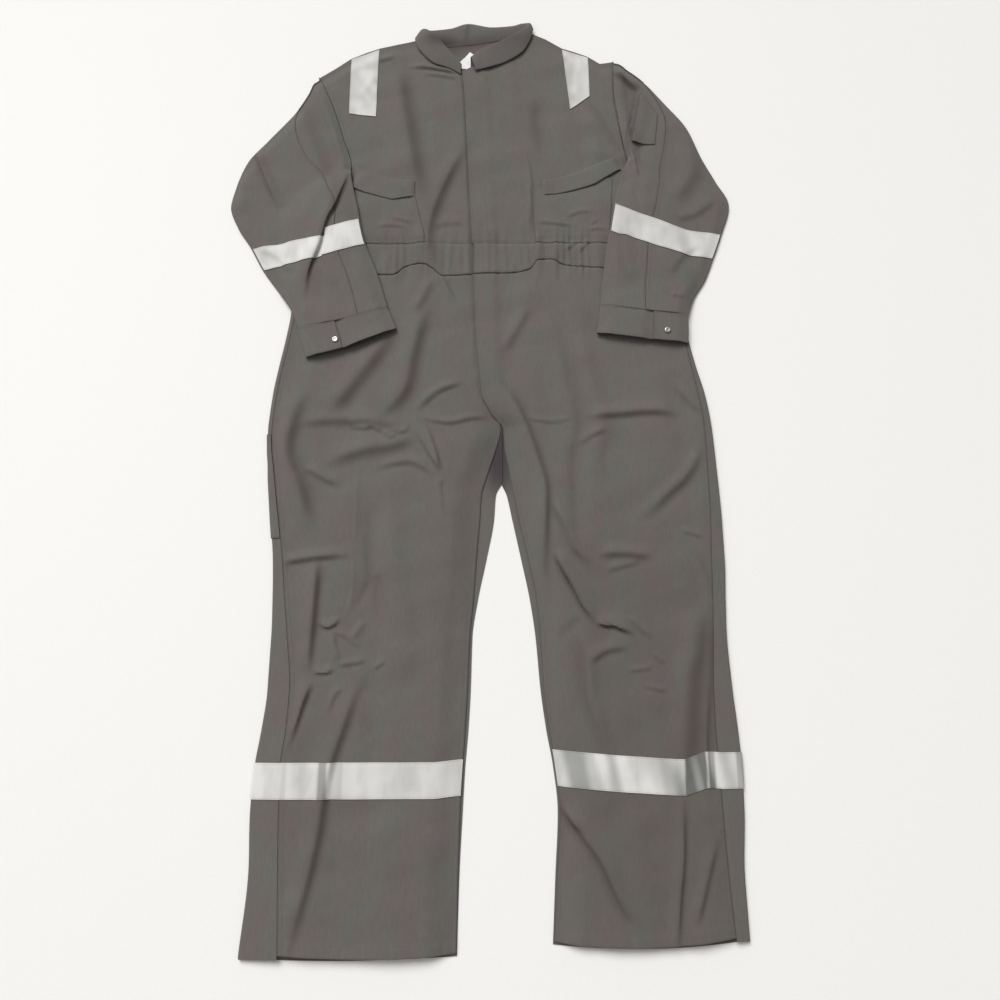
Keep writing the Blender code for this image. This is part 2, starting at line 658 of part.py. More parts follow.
def casing_columns(seam_x):
    """The casing's columns: those of the leg below it, and several for each gather."""
    for_gathers = [
        np.linspace(bunch.x0, bunch.x1, bunch.count * STEPS_A_GATHER + 1) * MM
        for bunch in WAIST_GATHERS
    ]
    extra = np.concatenate(for_gathers)
    extra = extra[(extra > seam_x.min()) & (extra < seam_x.max())]
    clear = np.abs(extra[:, None] - seam_x[None, :]).min(axis=1) > MM
    return np.sort(np.concatenate([seam_x, extra[clear]]))


def gather_heights(x):
    total = np.zeros(x.shape)
    for bunch in WAIST_GATHERS:
        share = (x / MM - bunch.x0) / (bunch.x1 - bunch.x0)
        wave = (1 - np.cos(2 * math.pi * bunch.count * share)) / 2
        total += np.where((share > 0) & (share < 1), bunch.height * MM * wave, 0)
    return total


def front_casing_grid(side, front_leg):
    """The elastic casing's underside, from the leg's top edge to the bodice."""
    seam_x, seam_y = front_leg[-1, :, 0], front_leg[-1, :, 1] + 2 * SEAM
    x = casing_columns(seam_x)[None, :]
    low = np.interp(x, seam_x, seam_y)
    y = mix(low, WAIST_TOP - SEAM, np.array([0, 0.5, 1])[:, None])
    x = np.repeat(x, 3, axis=0)
    drawn = np.array([0.6, 1, 0.4])[:, None]
    outer_edge = seam_x[0] if side < 0 else seam_x[-1]
    roll = ease(np.abs(x - outer_edge) / 0.03)
    air = smooth(LOFT, "y", "air", y) + gather_heights(x) * drawn
    return grid_of(x, y, WALL + GAP + air * roll)


def side_x(side, y):
    return smooth(SIDE_R if side < 0 else SIDE_L, "y", "x", y)


def fly_x(y):
    return smooth(FLY, "y", "x", y)


def panel_outline(top, left, right, rows):
    """x and y of a panel under a top outline, between two edges that are functions of y. Each
    column ends at one point of the outline."""
    top_x = column(top, "x") * MM
    top_y = column(top, "y") * MM
    share = (top_x - left(top_y)) / (right(top_y) - left(top_y))
    y = mix(WAIST_TOP + SEAM, top_y[None, :], np.linspace(0, 1, rows)[:, None])
    x = mix(left(y), right(y), np.clip(share, 0, 1)[None, :])
    return x, y


def front_bodice_grid(side):
    if side < 0:
        x, y = panel_outline(
            TOP_FRONT_R, lambda v: side_x(-1, v), lambda v: fly_x(v) + FLY_UNDERLAP, 17
        )
        tip, shoulder = FOLD_R, TOP_FRONT_R[:7]
    else:
        x, y = panel_outline(TOP_FRONT_L, fly_x, lambda v: side_x(1, v), 17)
        tip, shoulder = FOLD_L, TOP_FRONT_L[6:]
    under_arm = ease((tip + 0.01 - y) / 0.03)
    side_roll = mix(1, ease(np.abs(x - side_x(side, y)) / 0.04), under_arm)
    line_y = np.interp(x, column(shoulder, "x") * MM, column(shoulder, "y") * MM)
    in_shoulder = (x <= shoulder[-1].x * MM + 1e-6) & (x >= shoulder[0].x * MM - 1e-6)
    top_roll = np.where(in_shoulder, ease((line_y - y) / 0.035), 1)
    roll = side_roll * np.maximum(top_roll, 0.25)
    z = WALL + GAP + (smooth(LOFT, "y", "air", y) + fold_heights(FRONT_FOLDS, x, y)) * roll
    return grid_of(x, y, z)


def back_bodice_grid():
    x, y = panel_outline(TOP_BACK, lambda v: side_x(-1, v), lambda v: side_x(1, v), 15)
    return grid_of(x, y, 0.0)


def back_casing_grid():
    x = np.linspace(side_x(-1, WAIST_TOP), side_x(1, WAIST_TOP), 6)[None, :]
    y = np.array([[WAIST_BACK + SEAM], [WAIST_TOP - SEAM]])
    return grid_of(x, y, 0.0)


def zip_grid():
    """The zip's tape, between the two fronts, from the crotch to the neck."""
    low, high = ZIP_ROWS
    y = np.linspace(low, high, 24)[:, None] * MM
    x = fly_x(y) + np.array([ZIP_FROM_FLY]) * MM
    return grid_of(x, y, 0.0)


# ---- sleeves ----------------------------------------------------------------------------------


def section_lines(table, at):
    """Edges, sag and air of a flattened tube at fractional rows of its table."""
    edges = [along_rows(table, name, at) * MM for name in ("outer_x", "outer_y", "inner_x", "inner_y")]
    return [edge[:, None] for edge in edges] + [along_rows(table, "sag", at)[:, None] * MM]


def tube_plan(table, at, share):
    """x, y and the tube's width where share runs from the inner edge (0) to the outer (1)."""
    outer_x, outer_y, inner_x, inner_y, sag = section_lines(table, at)
    x = mix(inner_x, outer_x, share)
    y = mix(inner_y, outer_y, share) - sag * 4 * share * (1 - share)
    width = np.hypot(outer_x - inner_x, outer_y - inner_y)
    return x, y, width


def half_turn(distance, turn):
    """How far a tube's face lies from the middle of its fold, by the distance from its edge."""
    d = np.clip(distance, 0, turn)
    return np.sqrt(turn**2 - (turn - d) ** 2)


def sleeve_shares(seam, width):
    """Columns across a sleeve: close at both folds, with one on the seam."""
    edge = SLEEVE_TURN / width
    near = [0 * edge, 0.3 * edge, edge]
    inner = [mix(edge, seam, t) for t in (0.5, 1)]
    outer = [mix(seam, 1 - edge, t) for t in (0.25, 0.5, 0.75, 1)]
    far = [1 - 0.3 * edge, 1 + 0 * edge]
    shares = np.concatenate(near + inner + outer + far, axis=1)
    return shares, len(near) + len(inner) - 1


def sleeve_faces(side, at, below):
    """A sleeve's bottom and top faces at rows of its table, cuff to armhole by inner to outer edge,
    and the column of its seam."""
    table = SLEEVES[side]
    seam = along_rows(table, "seam", at)[:, None]
    width = tube_plan(table, at, np.zeros((len(at), 1)))[2]
    share, seam_column = sleeve_shares(seam, width)
    x, y, width = tube_plan(table, at, share)
    edge = np.minimum(share, 1 - share) * width
    bend = half_turn(edge, SLEEVE_TURN)
    bottom = grid_of(x, y, SLEEVE_TURN - bend)
    from_shoulder = (1 - share[-1]) * width[-1]
    clear = 2 * SEAM + 1.5 * WALL * (1 - ease(from_shoulder / (2 * SLEEVE_TURN)))
    bottom[-1, :, 0] = side_x(side, y[-1]) + side * clear
    lift = lifts(bottom, below, samples=17)
    for _ in range(2):
        spread = lift.copy()
        spread[1:-1] = np.maximum(spread[1:-1], (lift[:-2] + 2 * lift[1:-1] + lift[2:]) / 4)
        spread[:, 1:-1] = np.maximum(
            spread[:, 1:-1], (lift[:, :-2] + 2 * lift[:, 1:-1] + lift[:, 2:]) / 4
        )
        lift = spread
    bottom[:, :, 2] += lift
    top = bottom.copy()
    air = along_rows(table, "air", at)[:, None] * MM
    puffed = (air + fold_heights(SLEEVE_FOLDS[side], x, y)) * ease(edge / 0.025)
    top[:, :, 2] = SLEEVE_TURN + bend + puffed + lift
    return bottom, top, seam_column


def wrap(bottom, top, first, last):
    """The outer face from column first of the bottom, round the edge at column last, and back
    along the top to column first."""
    step = 1 if last > first else -1
    under = np.arange(first, last + step, step)
    over = under[::-1][1:]
    return np.concatenate([bottom[:, under], top[:, over]], axis=1)


def seam_clearance(beside, edge, facing):
    """How far a sleeve half's edge stays from its seam: half the air between the halves, and what
    the wall leans over it where the face rises (facing 1) or falls (facing -1) towards it."""
    way = edge - beside
    lean = facing * way[:, 2] / np.linalg.norm(way, axis=1)
    return SEAM / 2 + 1.2 * WALL * np.maximum(lean, 0)


def build_sleeve(side, below):
    mark = MARKS[side]
    at = np.unique(np.append(np.arange(len(SLEEVES[side])), SLEEVE_HALF_ROWS))[::-1]
    bottom, top, seam = sleeve_faces(side, at, below)
    last = bottom.shape[1] - 1
    upper = wrap(bottom, top, seam, last)
    under = wrap(bottom, top, seam, 0)
    for half, away in ((upper, side), (under, -side)):
        half[:, 0, 0] += away * seam_clearance(half[:, 1], half[:, 0], -1)
        half[:, -1, 0] += away * seam_clearance(half[:, -2], half[:, -1], 1)
    if side < 0:
        under = under[:, ::-1]
    else:
        upper = upper[:, ::-1]
    sleeve = [
        turned_cloth(f"upper_sleeve_{mark}", upper),
        turned_cloth(f"under_sleeve_{mark}", under),
    ]
    face = top[(at >= SLEEVE_TAPE_ROWS[0]) & (at <= SLEEVE_TAPE_ROWS[1])]
    if side < 0:
        face = face[:, ::-1]
    turned_cloth(f"sleeve_tape_{mark}", moved_out(face, GAP), TAPE, TRIM, offset=1)
    return sleeve


def build_cuff(side, below):
    """A band round the sleeve's end: it starts under its own lapped end, runs round the inner
    edge, along the bottom, round the outer edge and over its start."""
    mark = MARKS[side]
    table = CUFF[side]
    at = np.array([2.0, 1.0, 0.0])
    width = tube_plan(table, at, np.zeros((3, 1)))[2]
    edge = SLEEVE_TURN / width
    near = [0 * edge, 0.3 * edge, edge]
    stop, lap = CUFF_EDGE[side], CUFF_LAP
    middle = [mix(edge, 1 - edge, t) for t in (0.2, 0.4, stop, stop + lap, 0.9)]
    far = [1 - edge, 1 - 0.3 * edge, 1 + 0 * edge]
    share = np.concatenate(near + middle + far, axis=1)
    lap_stop, lap_start = len(near) + 2, len(near) + 3
    x, y, width = tube_plan(table, at, share)
    from_edge = np.minimum(share, 1 - share) * width
    bend = half_turn(from_edge, SLEEVE_TURN)
    bottom = grid_of(x, y, SLEEVE_TURN - bend)
    lift = lifts(bottom, below)
    bottom[:, :, 2] += lift
    over = bottom.copy()
    puff = CUFF_AIR * MM * ease(from_edge / 0.022)
    over[:, :, 2] = SLEEVE_TURN + bend + puff + lift
    under = over.copy()
    under[:, :, 2] -= (WALL + 2 * GAP) * ease((share - stop + 0.12) / 0.1)
    start = np.arange(lap_start, 0, -1)
    along = np.arange(0, share.shape[1])
    finish = np.arange(share.shape[1] - 2, lap_stop - 1, -1)
    band = np.concatenate([under[:, start], bottom[:, along], over[:, finish]], axis=1)
    if side > 0:
        band = band[:, ::-1]
    return turned_cloth(f"cuff_{mark}", band)


def build_snap(side, cuff):
    mark = MARKS[side]
    spot = SNAP_AT[side]
    x, y = spot.x * MM, spot.y * MM
    trees = plumb_lines([cuff])
    ring = [
        (x + SNAP_RADIUS * math.cos(a), y + SNAP_RADIUS * math.sin(a))
        for a in np.linspace(0, 2 * math.pi, 17)
    ]
    seat = max(top_at(trees, *place) for place in [(x, y), *ring]) + GAP
    bm = bmesh.new()
    bmesh.ops.create_cone(
        bm,
        cap_ends=True,
        segments=20,
        radius1=SNAP_RADIUS,
        radius2=0.72 * SNAP_RADIUS,
        depth=SNAP_RISE,
    )
    bmesh.ops.translate(bm, verts=bm.verts[:], vec=(x, y, seat + SNAP_RISE / 2))
    return add_object(f"cuff_snap_{mark}", bm, METAL)


# ---- collar and patches -----------------------------------------------------------------------


def collar_grid():
    """The collar's middle face: sections round the neck by points from neck seam to leaf edge."""
    whole = np.arange(len(COLLAR))
    at = np.unique(np.append(whole, COLLAR_HALF_ROWS))
    n = np.stack([np.interp(at, whole, column(COLLAR, "n" + axis)) for axis in "xyz"], -1) * MM
    r = np.stack([along_rows(COLLAR, "r" + axis, at) for axis in "xyz"], -1) * MM
    leaf = np.stack([along_rows(COLLAR, "l" + axis, at) for axis in "xyz"], -1) * MM
    n[:, 1] += 3 * SEAM
    facing = np.radians(along_rows(COLLAR, "facing", at))
    away = np.where(r[:, 0] < -0.015, -1, 1)
    out = np.stack([away * np.cos(facing), 0 * facing, np.sin(facing)], -1) * COLLAR_PARTING
    ring = [
        n,
        mix(n, r, 0.45) - out * 0.6,
        mix(n, r, 0.82) - out,
        mix(n, r, 0.96) - out * 0.7,
        r,
        mix(leaf, r, 0.96) + out * 0.7,
        mix(leaf, r, 0.82) + out,
        mix(leaf, r, 0.45) + out * 0.8,
        leaf,
    ]
    grid = np.stack(ring, axis=1)
    grid[:, :, 2] = np.maximum(grid[:, :, 2], 0.55 * COLLAR_WALL)
    return grid


def patch_grid(patch):
    """A patch's plan, rows from its lower to its upper edge."""
    share = np.linspace(0, 1, patch.cols + 1)
    edges = []
    for line in (patch.lower, patch.upper):
        at = np.linspace(0, 1, len(line))
        edges.append([np.interp(share, at, column(line, axis)) * MM for axis in "xy"])
    (low_x, low_y), (high_x, high_y) = edges
    t = np.linspace(0, 1, patch.rows + 1)[:, None]
    return grid_of(mix(low_x, high_x, t), mix(low_y, high_y, t), 0.0)


def build_patch(name, below, finish=CLOTH, wall=WALL):
    return flat_cloth(name, follow(patch_grid(PATCHES[name]), below), finish, wall)


# ---- the suit ---------------------------------------------------------------------------------


def clear_scene():
    for obj in list(bpy.data.objects):
        bpy.data.objects.remove(obj, do_unlink=True)


def make_materials():
    made = {}
    for name, colour, roughness, metallic in (CLOTH, TAPE, LABEL, METAL, ZIP):
        material = bpy.data.materials.new(name)
        material.use_nodes = True
        shader = material.node_tree.nodes["Principled BSDF"]
        shader.inputs["Base Color"].default_value = colour
        shader.inputs["Roughness"].default_value = roughness
        shader.inputs["Metallic"].default_value = metallic
        made[name] = material
    return made


def build_front(side, over):
    """One side's front, from the hem to the shoulder, laid over the pieces in over."""
    mark = MARKS[side]
    leg, tape_rows = front_leg_grid(side)
    casing = front_casing_grid(side, leg)
    bodice = front_bodice_grid(side)
    if over:
        leg, casing, bodice = (lay(grid, over) for grid in (leg, casing, bodice))
    made = [
        flat_cloth(f"front_leg_{mark}", leg),
        flat_cloth(f"front_casing_{mark}", casing),
        flat_cloth(f"front_bodice_{mark}", bodice),
    ]
    face = leg_top_face(side, leg, back_leg_grid(side, leg_rows(side)[0]))[tape_rows]
    turned_cloth(f"leg_tape_{mark}", moved_out(face, GAP), TAPE, TRIM, offset=1)
    return made


def build_sewn_on(side, bodice):
    """The chest pocket, its flap and the shoulder tape on one front."""
    mark = MARKS[side]
    pocket = build_patch(f"chest_pocket_{mark}", [bodice])
    flap = build_patch(f"pocket_flap_{mark}", [bodice, pocket])
    build_patch(f"shoulder_tape_{mark}", [bodice], TAPE, TRIM)
    return [pocket, flap]


def build_suit():
    lying = []
    for side, mark in MARKS.items():
        back = back_leg_grid(side, leg_rows(side)[0])
        lying.append(turned_cloth(f"back_leg_{mark}", back))
    lying.append(flat_cloth("back_casing", back_casing_grid()))
    back_bodice = flat_cloth("back_bodice", back_bodice_grid())
    lying.append(back_bodice)

    right = build_front(-1, [])
    closure = flat_cloth("front_zip", follow(zip_grid(), right), ZIP, TRIM)
    left = build_front(1, [*right, closure])
    lying += [*right, *left]

    rows = leg_rows(-1)[0]
    pocket_turn = stretch_of(outer_turn(back_leg_grid(-1, rows)), rows, RULE_POCKET_ROWS)
    turned_cloth("rule_pocket", moved_out(pocket_turn, GAP), CLOTH, WALL, offset=1)

    for side, bodice in ((-1, right[2]), (1, left[2])):
        lying += build_sewn_on(side, bodice)
    build_patch("neck_label", [back_bodice], LABEL, TRIM)
    turned_cloth("collar", collar_grid(), CLOTH, COLLAR_WALL, offset=0)

    for side in MARKS:
        sleeve = build_sleeve(side, lying)
        if side > 0:
            build_patch("pen_pocket", sleeve)
        build_snap(side, build_cuff(side, lying))


clear_scene()
MATERIALS = make_materials()
SUIT = bpy.data.collections.new("boiler_suit")
bpy.context.scene.collection.children.link(SUIT)
build_suit()
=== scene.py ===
"""Looks of a one-piece work suit with silver bands, laid flat and face up on a pale table.

The frame is that of the part: +X toward the wearer's left, +Y toward the neck, +Z up, with the
table at z = 0. Sizes in the tables are millimetres and become metres as they are read.
"""

import logging
import math
from collections.abc import Callable, Iterator
from dataclasses import dataclass, field
from enum import Enum

import bpy
import numpy as np
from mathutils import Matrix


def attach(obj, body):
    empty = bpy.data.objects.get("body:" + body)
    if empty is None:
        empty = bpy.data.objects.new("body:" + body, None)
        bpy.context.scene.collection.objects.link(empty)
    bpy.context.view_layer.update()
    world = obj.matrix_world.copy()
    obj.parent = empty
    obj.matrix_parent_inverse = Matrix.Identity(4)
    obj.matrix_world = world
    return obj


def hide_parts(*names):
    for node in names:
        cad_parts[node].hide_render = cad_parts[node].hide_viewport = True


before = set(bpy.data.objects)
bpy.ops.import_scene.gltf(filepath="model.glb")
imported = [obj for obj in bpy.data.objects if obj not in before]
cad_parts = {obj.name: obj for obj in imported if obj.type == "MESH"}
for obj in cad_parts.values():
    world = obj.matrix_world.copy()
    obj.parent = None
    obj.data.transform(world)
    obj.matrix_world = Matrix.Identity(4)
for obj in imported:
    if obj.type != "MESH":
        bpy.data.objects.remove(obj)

MM = 0.001
Array = np.ndarray
Point = tuple[float, float]
Edge = Callable[[Array], Array]
Marks = dict[str, Array]
Seams = tuple[float, float, float, float]
LOG = logging.getLogger("suit")


class Side(Enum):
    """The wearer's right, at -X, and left."""

    RIGHT = -1
    LEFT = 1

    @property
    def mark(self) -> str:
        """The letter that ends the side's piece names."""
        return "r" if self is Side.RIGHT else "l"


class Rim(Enum):
    """An edge of a grid: its first or last row, or its first or last column."""

    LOW = "low"
    HIGH = "high"
    LEFT = "left"
    RIGHT = "right"


class Fall(Enum):
    """The side on which a fold is steep: none, the wearer's left or right, or the feet."""

    NONE = (0, 0)
    LEFT = (1, 0)
    RIGHT = (-1, 0)
    DOWN = (0, -1)


class Finish(Enum):
    """Every finish, by its name."""

    CLOTH = "cloth"
    SILVER = "silver_tape"
    LABEL = "label_satin"
    ZIP = "zip_tape"
    SNAP = "snap_metal"
    THREAD = "thread"
    FLOOR = "floor"

    @property
    def look(self) -> str:
        """The name of the finish's material."""
        return f"{self.value}_look"


# ---- formulas ----


def ease(value: Array) -> Array:
    """0 below 0, 1 above 1, and a soft step between: t * t * (3 - 2 t)."""
    t = np.clip(value, 0, 1)
    return t * t * (3 - 2 * t)


def mix(a: Array, b: Array, t: Array) -> Array:
    """a at 0, b at 1."""
    return a + (b - a) * t


def bell(distance: Array, width: float) -> Array:
    """1 at no distance, falling away on both sides as exp(-(distance / width)^2)."""
    return np.exp(-((distance / width) ** 2))


def bow(share: Array) -> Array:
    """0 at both ends, 1 in the middle: 4 t (1 - t)."""
    return 4 * share * (1 - share)


def through(values: tuple[float, float, float], share: Array) -> Array:
    """An arc through three values, at shares 0, 1/2 and 1."""
    low, middle, high = values
    return mix(low, high, share) + (middle - (low + high) / 2) * bow(share)


def between(table: tuple[Point, ...], at: Array) -> Array:
    """Reads a table of two columns, straight between its rows."""
    return np.interp(at, *zip(*table))


def monotone(keys: Array, values: Array, at: Array) -> Array:
    """A cubic through the values that doesn't overshoot them: the tangent at each key is the
    harmonic mean of the slopes beside it, or level where they change sign.

    Args:
        keys: where the values stand, in any order.
        values: the values.
        at: where the curve is read.

    Returns:
        The curve's values, of the shape of at.
    """
    order = np.argsort(keys)
    x, y = keys[order], values[order]
    step = np.diff(x)
    slope = np.diff(y) / step
    tangent = np.concatenate([slope[:1], np.zeros(len(x) - 2), slope[-1:]])
    same_way = slope[:-1] * slope[1:] > 0
    both = np.where(same_way, slope[:-1] + slope[1:], 1)
    tangent[1:-1] = np.where(same_way, 2 * slope[:-1] * slope[1:] / both, 0)
    at = np.clip(at, x[0], x[-1])
    k = np.clip(np.searchsorted(x, at) - 1, 0, len(step) - 1)
    t = (at - x[k]) / step[k]
    rise = (2 * t**3 - 3 * t**2 + 1) * y[k] + (3 * t**2 - 2 * t**3) * y[k + 1]
    return rise + step[k] * ((t**3 - 2 * t**2 + t) * tangent[k] + (t**3 - t**2) * tangent[k + 1])


@dataclass(frozen=True)
class Table:
    """Rows of millimetre sizes under named columns."""

    names: str
    rows: tuple[tuple[float, ...], ...]

    def column(self, name: str) -> Array:
        """One column, in metres."""
        return np.array([row[self.names.split().index(name)] for row in self.rows]) * MM

    def smooth(self, key: str, name: str, at: Array) -> Array:
        """One column as a function of another."""
        return monotone(self.column(key), self.column(name), at)

    def along(self, name: str, at: Array) -> Array:
        """One column at fractional row numbers."""
        return monotone(np.arange(len(self.rows), dtype=float), self.column(name), at)


# ---- sizes ----

WALL = 1.3 * MM  # the part's cloth wall, which sets how high each layer lies
CLOTH = 0.9 * MM  # the thickness of most pieces here
FILM = 0.7 * MM  # the thickness of the bands on the legs and sleeves
GAP = 0.4 * MM
CLEAR = 0.2 * MM  # how far a piece that wraps another one stands off it
SEAM = 0.3 * MM
TURN = 3.5 * MM  # radius of a leg's outer fold
SLEEVE_TURN = 2.7 * MM
WAIST_TOP = 327 * MM
WAIST_BACK = 272 * MM
BACK_FACE = 1.25 * MM  # the height of the back's inner face
FLY_UNDERLAP = 30 * MM
OVERLAP_RISE = 3.2 * MM  # how far the left front lies above the right one
TUCK = 3 * MM  # how far a piece reaches under its neighbour at a seam

LEG_NAMES = "y outer outseam front_inner back_inner"
LEG = {
    Side.RIGHT: Table(
        LEG_NAMES,
        (
            (272, -326, -319, 15, 4), (200, -322, -315, 18, 8), (150, -327, -320, 20, 14),
            (100, -335, -328, 23, 20), (50, -342, -335, 26, 27), (10, -345, -338, 32, 39.5),
            (-12, -346, -339, 36.5, 39.5), (-50, -344, -336, 28, 39.5), (-75, -341, -332, 20, 39.5),
            (-100, -339, -328, 12, 39.5), (-125, -336, -324, 5.5, 29), (-166, -331, -317, 3, 26),
            (-231, -323, -307, -2, 14), (-294, -319, -299, -6, 1), (-350, -317, -291, -11, -7),
            (-431, -317, -282, -14, -9), (-490, -322, -284, -17, -12), (-540, -328, -289, -20, -16),
            (-600, -330, -287, -23, -19), (-690, -326, -282, -25, -23), (-790, -332, -276, -26, -25),
        ),
    ),
    Side.LEFT: Table(
        LEG_NAMES,
        (
            (272, 352, 345, -12, 4), (200, 352, 345, -9, 8), (150, 355, 348, -7, 14),
            (100, 364, 356, -2, 20), (50, 376, 364, 3, 27), (10, 382, 370, 22, 34), (-12, 384, 371, 40, 35),
            (-50, 386, 372, 43, 35), (-75, 387, 372, 48, 35), (-100, 388, 372, 52, 36),
            (-125, 389, 372, 57, 46), (-166, 390, 371, 65, 55), (-231, 390, 368, 80, 69),
            (-294, 387, 366, 92, 82), (-350, 385, 363, 97, 90), (-431, 388, 358, 101, 97),
            (-490, 392, 357, 109, 105), (-540, 394, 359, 117, 114), (-600, 393, 360, 123, 120),
            (-690, 387, 363, 117, 115), (-780, 388, 368, 111, 110),
        ),
    ),
}
# The hem's height at the inner leg, the middle and the outer leg.
HEM_FRONT = {Side.RIGHT: (-790, -795, -791), Side.LEFT: (-775, -781, -769)}
HEM_BACK = {Side.RIGHT: (-794, -800, -797), Side.LEFT: (-779, -785, -774)}
LEG_TAPE = {Side.RIGHT: (-586, -535), Side.LEFT: (-574, -523)}
RULE_POCKET = (-197, -24)
WAIST_SEAM = Table(
    "x y",
    (
        (-330, 270), (-200, 271), (-166, 266), (-148, 267), (-126, 284), (-100, 288), (-82, 278),
        (-64, 264), (-17, 267), (60, 271), (86, 277), (102, 295), (120, 297), (150, 285), (213, 280),
        (352, 276),
    ),
)
FLY = Table(
    "y x",
    (
        (690, -36), (630, -31), (523, -25), (419, -20), (300, -14), (222, -10), (148, -7), (75, -1),
        (32, 10), (8, 22),
    ),
)
BODICE_SIDE = {
    Side.RIGHT: Table(
        "y x",
        (
            (327, -330), (360, -330), (395, -318), (425, -290), (450, -252), (477, -231), (544, -250),
            (597, -267), (641, -285), (674, -300),
        ),
    ),
    Side.LEFT: Table(
        "y x",
        (
            (327, 345), (360, 345), (400, 335), (435, 312), (465, 284), (497, 263), (572, 251), (645, 244),
            (710, 246),
        ),
    ),
}
UNDER_ARM = {Side.RIGHT: 477 * MM, Side.LEFT: 497 * MM}
TOP_FRONT = {
    Side.RIGHT: Table(
        "x y",
        (
            (-300, 674), (-272, 694), (-243, 717), (-217, 730), (-190, 741), (-155, 750), (-121, 759),
            (-103, 742), (-78, 722), (-52, 704), (-36, 693), (-6, 687),
        ),
    ),
    Side.LEFT: Table(
        "x y",
        (
            (-36, 683), (-19, 692), (0, 705), (30, 720), (60, 740), (80, 762), (92, 776), (121, 762),
            (152, 741), (177, 732), (200, 722), (222, 706), (246, 710),
        ),
    ),
}
SHOULDER = {Side.RIGHT: slice(0, 7), Side.LEFT: slice(6, 13)}
TOP_BACK = Table(
    "x y",
    (
        (-300, 674), (-243, 717), (-190, 741), (-121, 759), (-95, 747), (-62, 745), (-20, 750), (20, 757),
        (60, 765), (92, 776), (152, 741), (200, 722), (222, 706), (246, 710),
    ),
)
# The air under the front, hem to shoulder.
LOFT = Table(
    "y air",
    (
        (-800, 9.5), (-690, 9), (-540, 7), (-300, 8), (0, 7), (150, 6.5), (272, 5), (327, 5), (420, 6),
        (600, 5.5), (700, 4.5), (780, 3.5),
    ),
)
# Bunches of gathers in the elastic waist: from x0 to x1, how many, how high.
GATHERS = (
    (-262, -206, 5, 1.5), (-152, -130, 2, 1.6), (-114, -88, 3, 1.6), (-62, -44, 1, 1.0), (8, 32, 2, 1.4),
    (96, 108, 1, 1.5), (128, 192, 6, 1.8), (246, 300, 5, 1.5),
)
SLEEVE_NAMES = "outer_x outer_y inner_x inner_y sag seam air"
SLEEVE = {
    Side.RIGHT: Table(
        SLEEVE_NAMES,
        (
            (-300.6, 674, -231.6, 478, 0, 995, 3),
            (-333, 608, -231.5, 473, 0, 990, 4),
            (-384, 540, -230, 466, 0, 560, 4.5),
            (-420, 491, -228, 453, 0, 275, 4.5),
            (-436, 440, -224, 434, 0, 215, 4.5),
            (-442, 402, -219, 413, 0, 184, 4),
            (-425, 358, -214, 393, 0, 190, 4),
            (-402, 323, -211, 377, 2, 220, 4),
            (-377, 278, -200, 329, 2, 266, 4),
            (-344, 232, -184, 288, 2, 288, 4),
            (-322, 200, -170, 249, 3, 310, 4.5),
            (-305, 161.5, -155, 200.5, 4, 329, 5.5),
        ),
    ),
    Side.LEFT: Table(
        SLEEVE_NAMES,
        (
            (246.6, 710, 262.6, 502, 0, 995, 3),
            (296, 670, 265, 495, 0, 990, 4),
            (342, 613, 262, 486, 0, 880, 4.5),
            (376, 565, 257, 476, 0, 640, 4.5),
            (400, 500, 252, 461, 0, 475, 4.5),
            (422, 452, 246, 441, 0, 415, 4),
            (442, 405, 241, 421, 6, 350, 4),
            (425, 347, 237, 407, 15, 345, 4),
            (408, 301, 228, 357, 14, 358, 4),
            (390, 257, 219, 305, 8, 403, 4),
            (368, 221, 212, 255, 3, 455, 4.5),
            (355.5, 187, 205.5, 205, 2, 510, 5.5),
        ),
    ),
}
# How far each leg's band sits above its own height, by x.
BAND_TILT = {
    Side.RIGHT: ((-340, 0), (-60, 1), (-25, 4.5)),
    Side.LEFT: ((113, 7), (210, -1.5), (296, -6.5), (309, -6.5), (340, 4), (390, 3)),
}
SLEEVE_TAPE = (7, 8)  # the rows of the sleeve's table between which the band lies
CUFF_NAMES = "outer_x outer_y inner_x inner_y sag"
CUFF = {
    Side.RIGHT: Table(
        CUFF_NAMES,
        ((-305, 161, -155, 200, 4), (-297, 136, -147, 182, 5), (-289, 109, -139, 161, 6)),
    ),
    Side.LEFT: Table(
        CUFF_NAMES,
        ((355.5, 186.5, 205.5, 204.5, 2), (354.5, 161, 202.5, 179, 3), (352.5, 136, 198.5, 153.5, 2)),
    ),
}
CUFF_EDGE = {Side.RIGHT: 0.59, Side.LEFT: 0.60}  # where the lapped end stops, across the cuff
CUFF_LAP = 0.22
SNAP_AT = {Side.RIGHT: (-240, 138.5), Side.LEFT: (317, 156.5)}
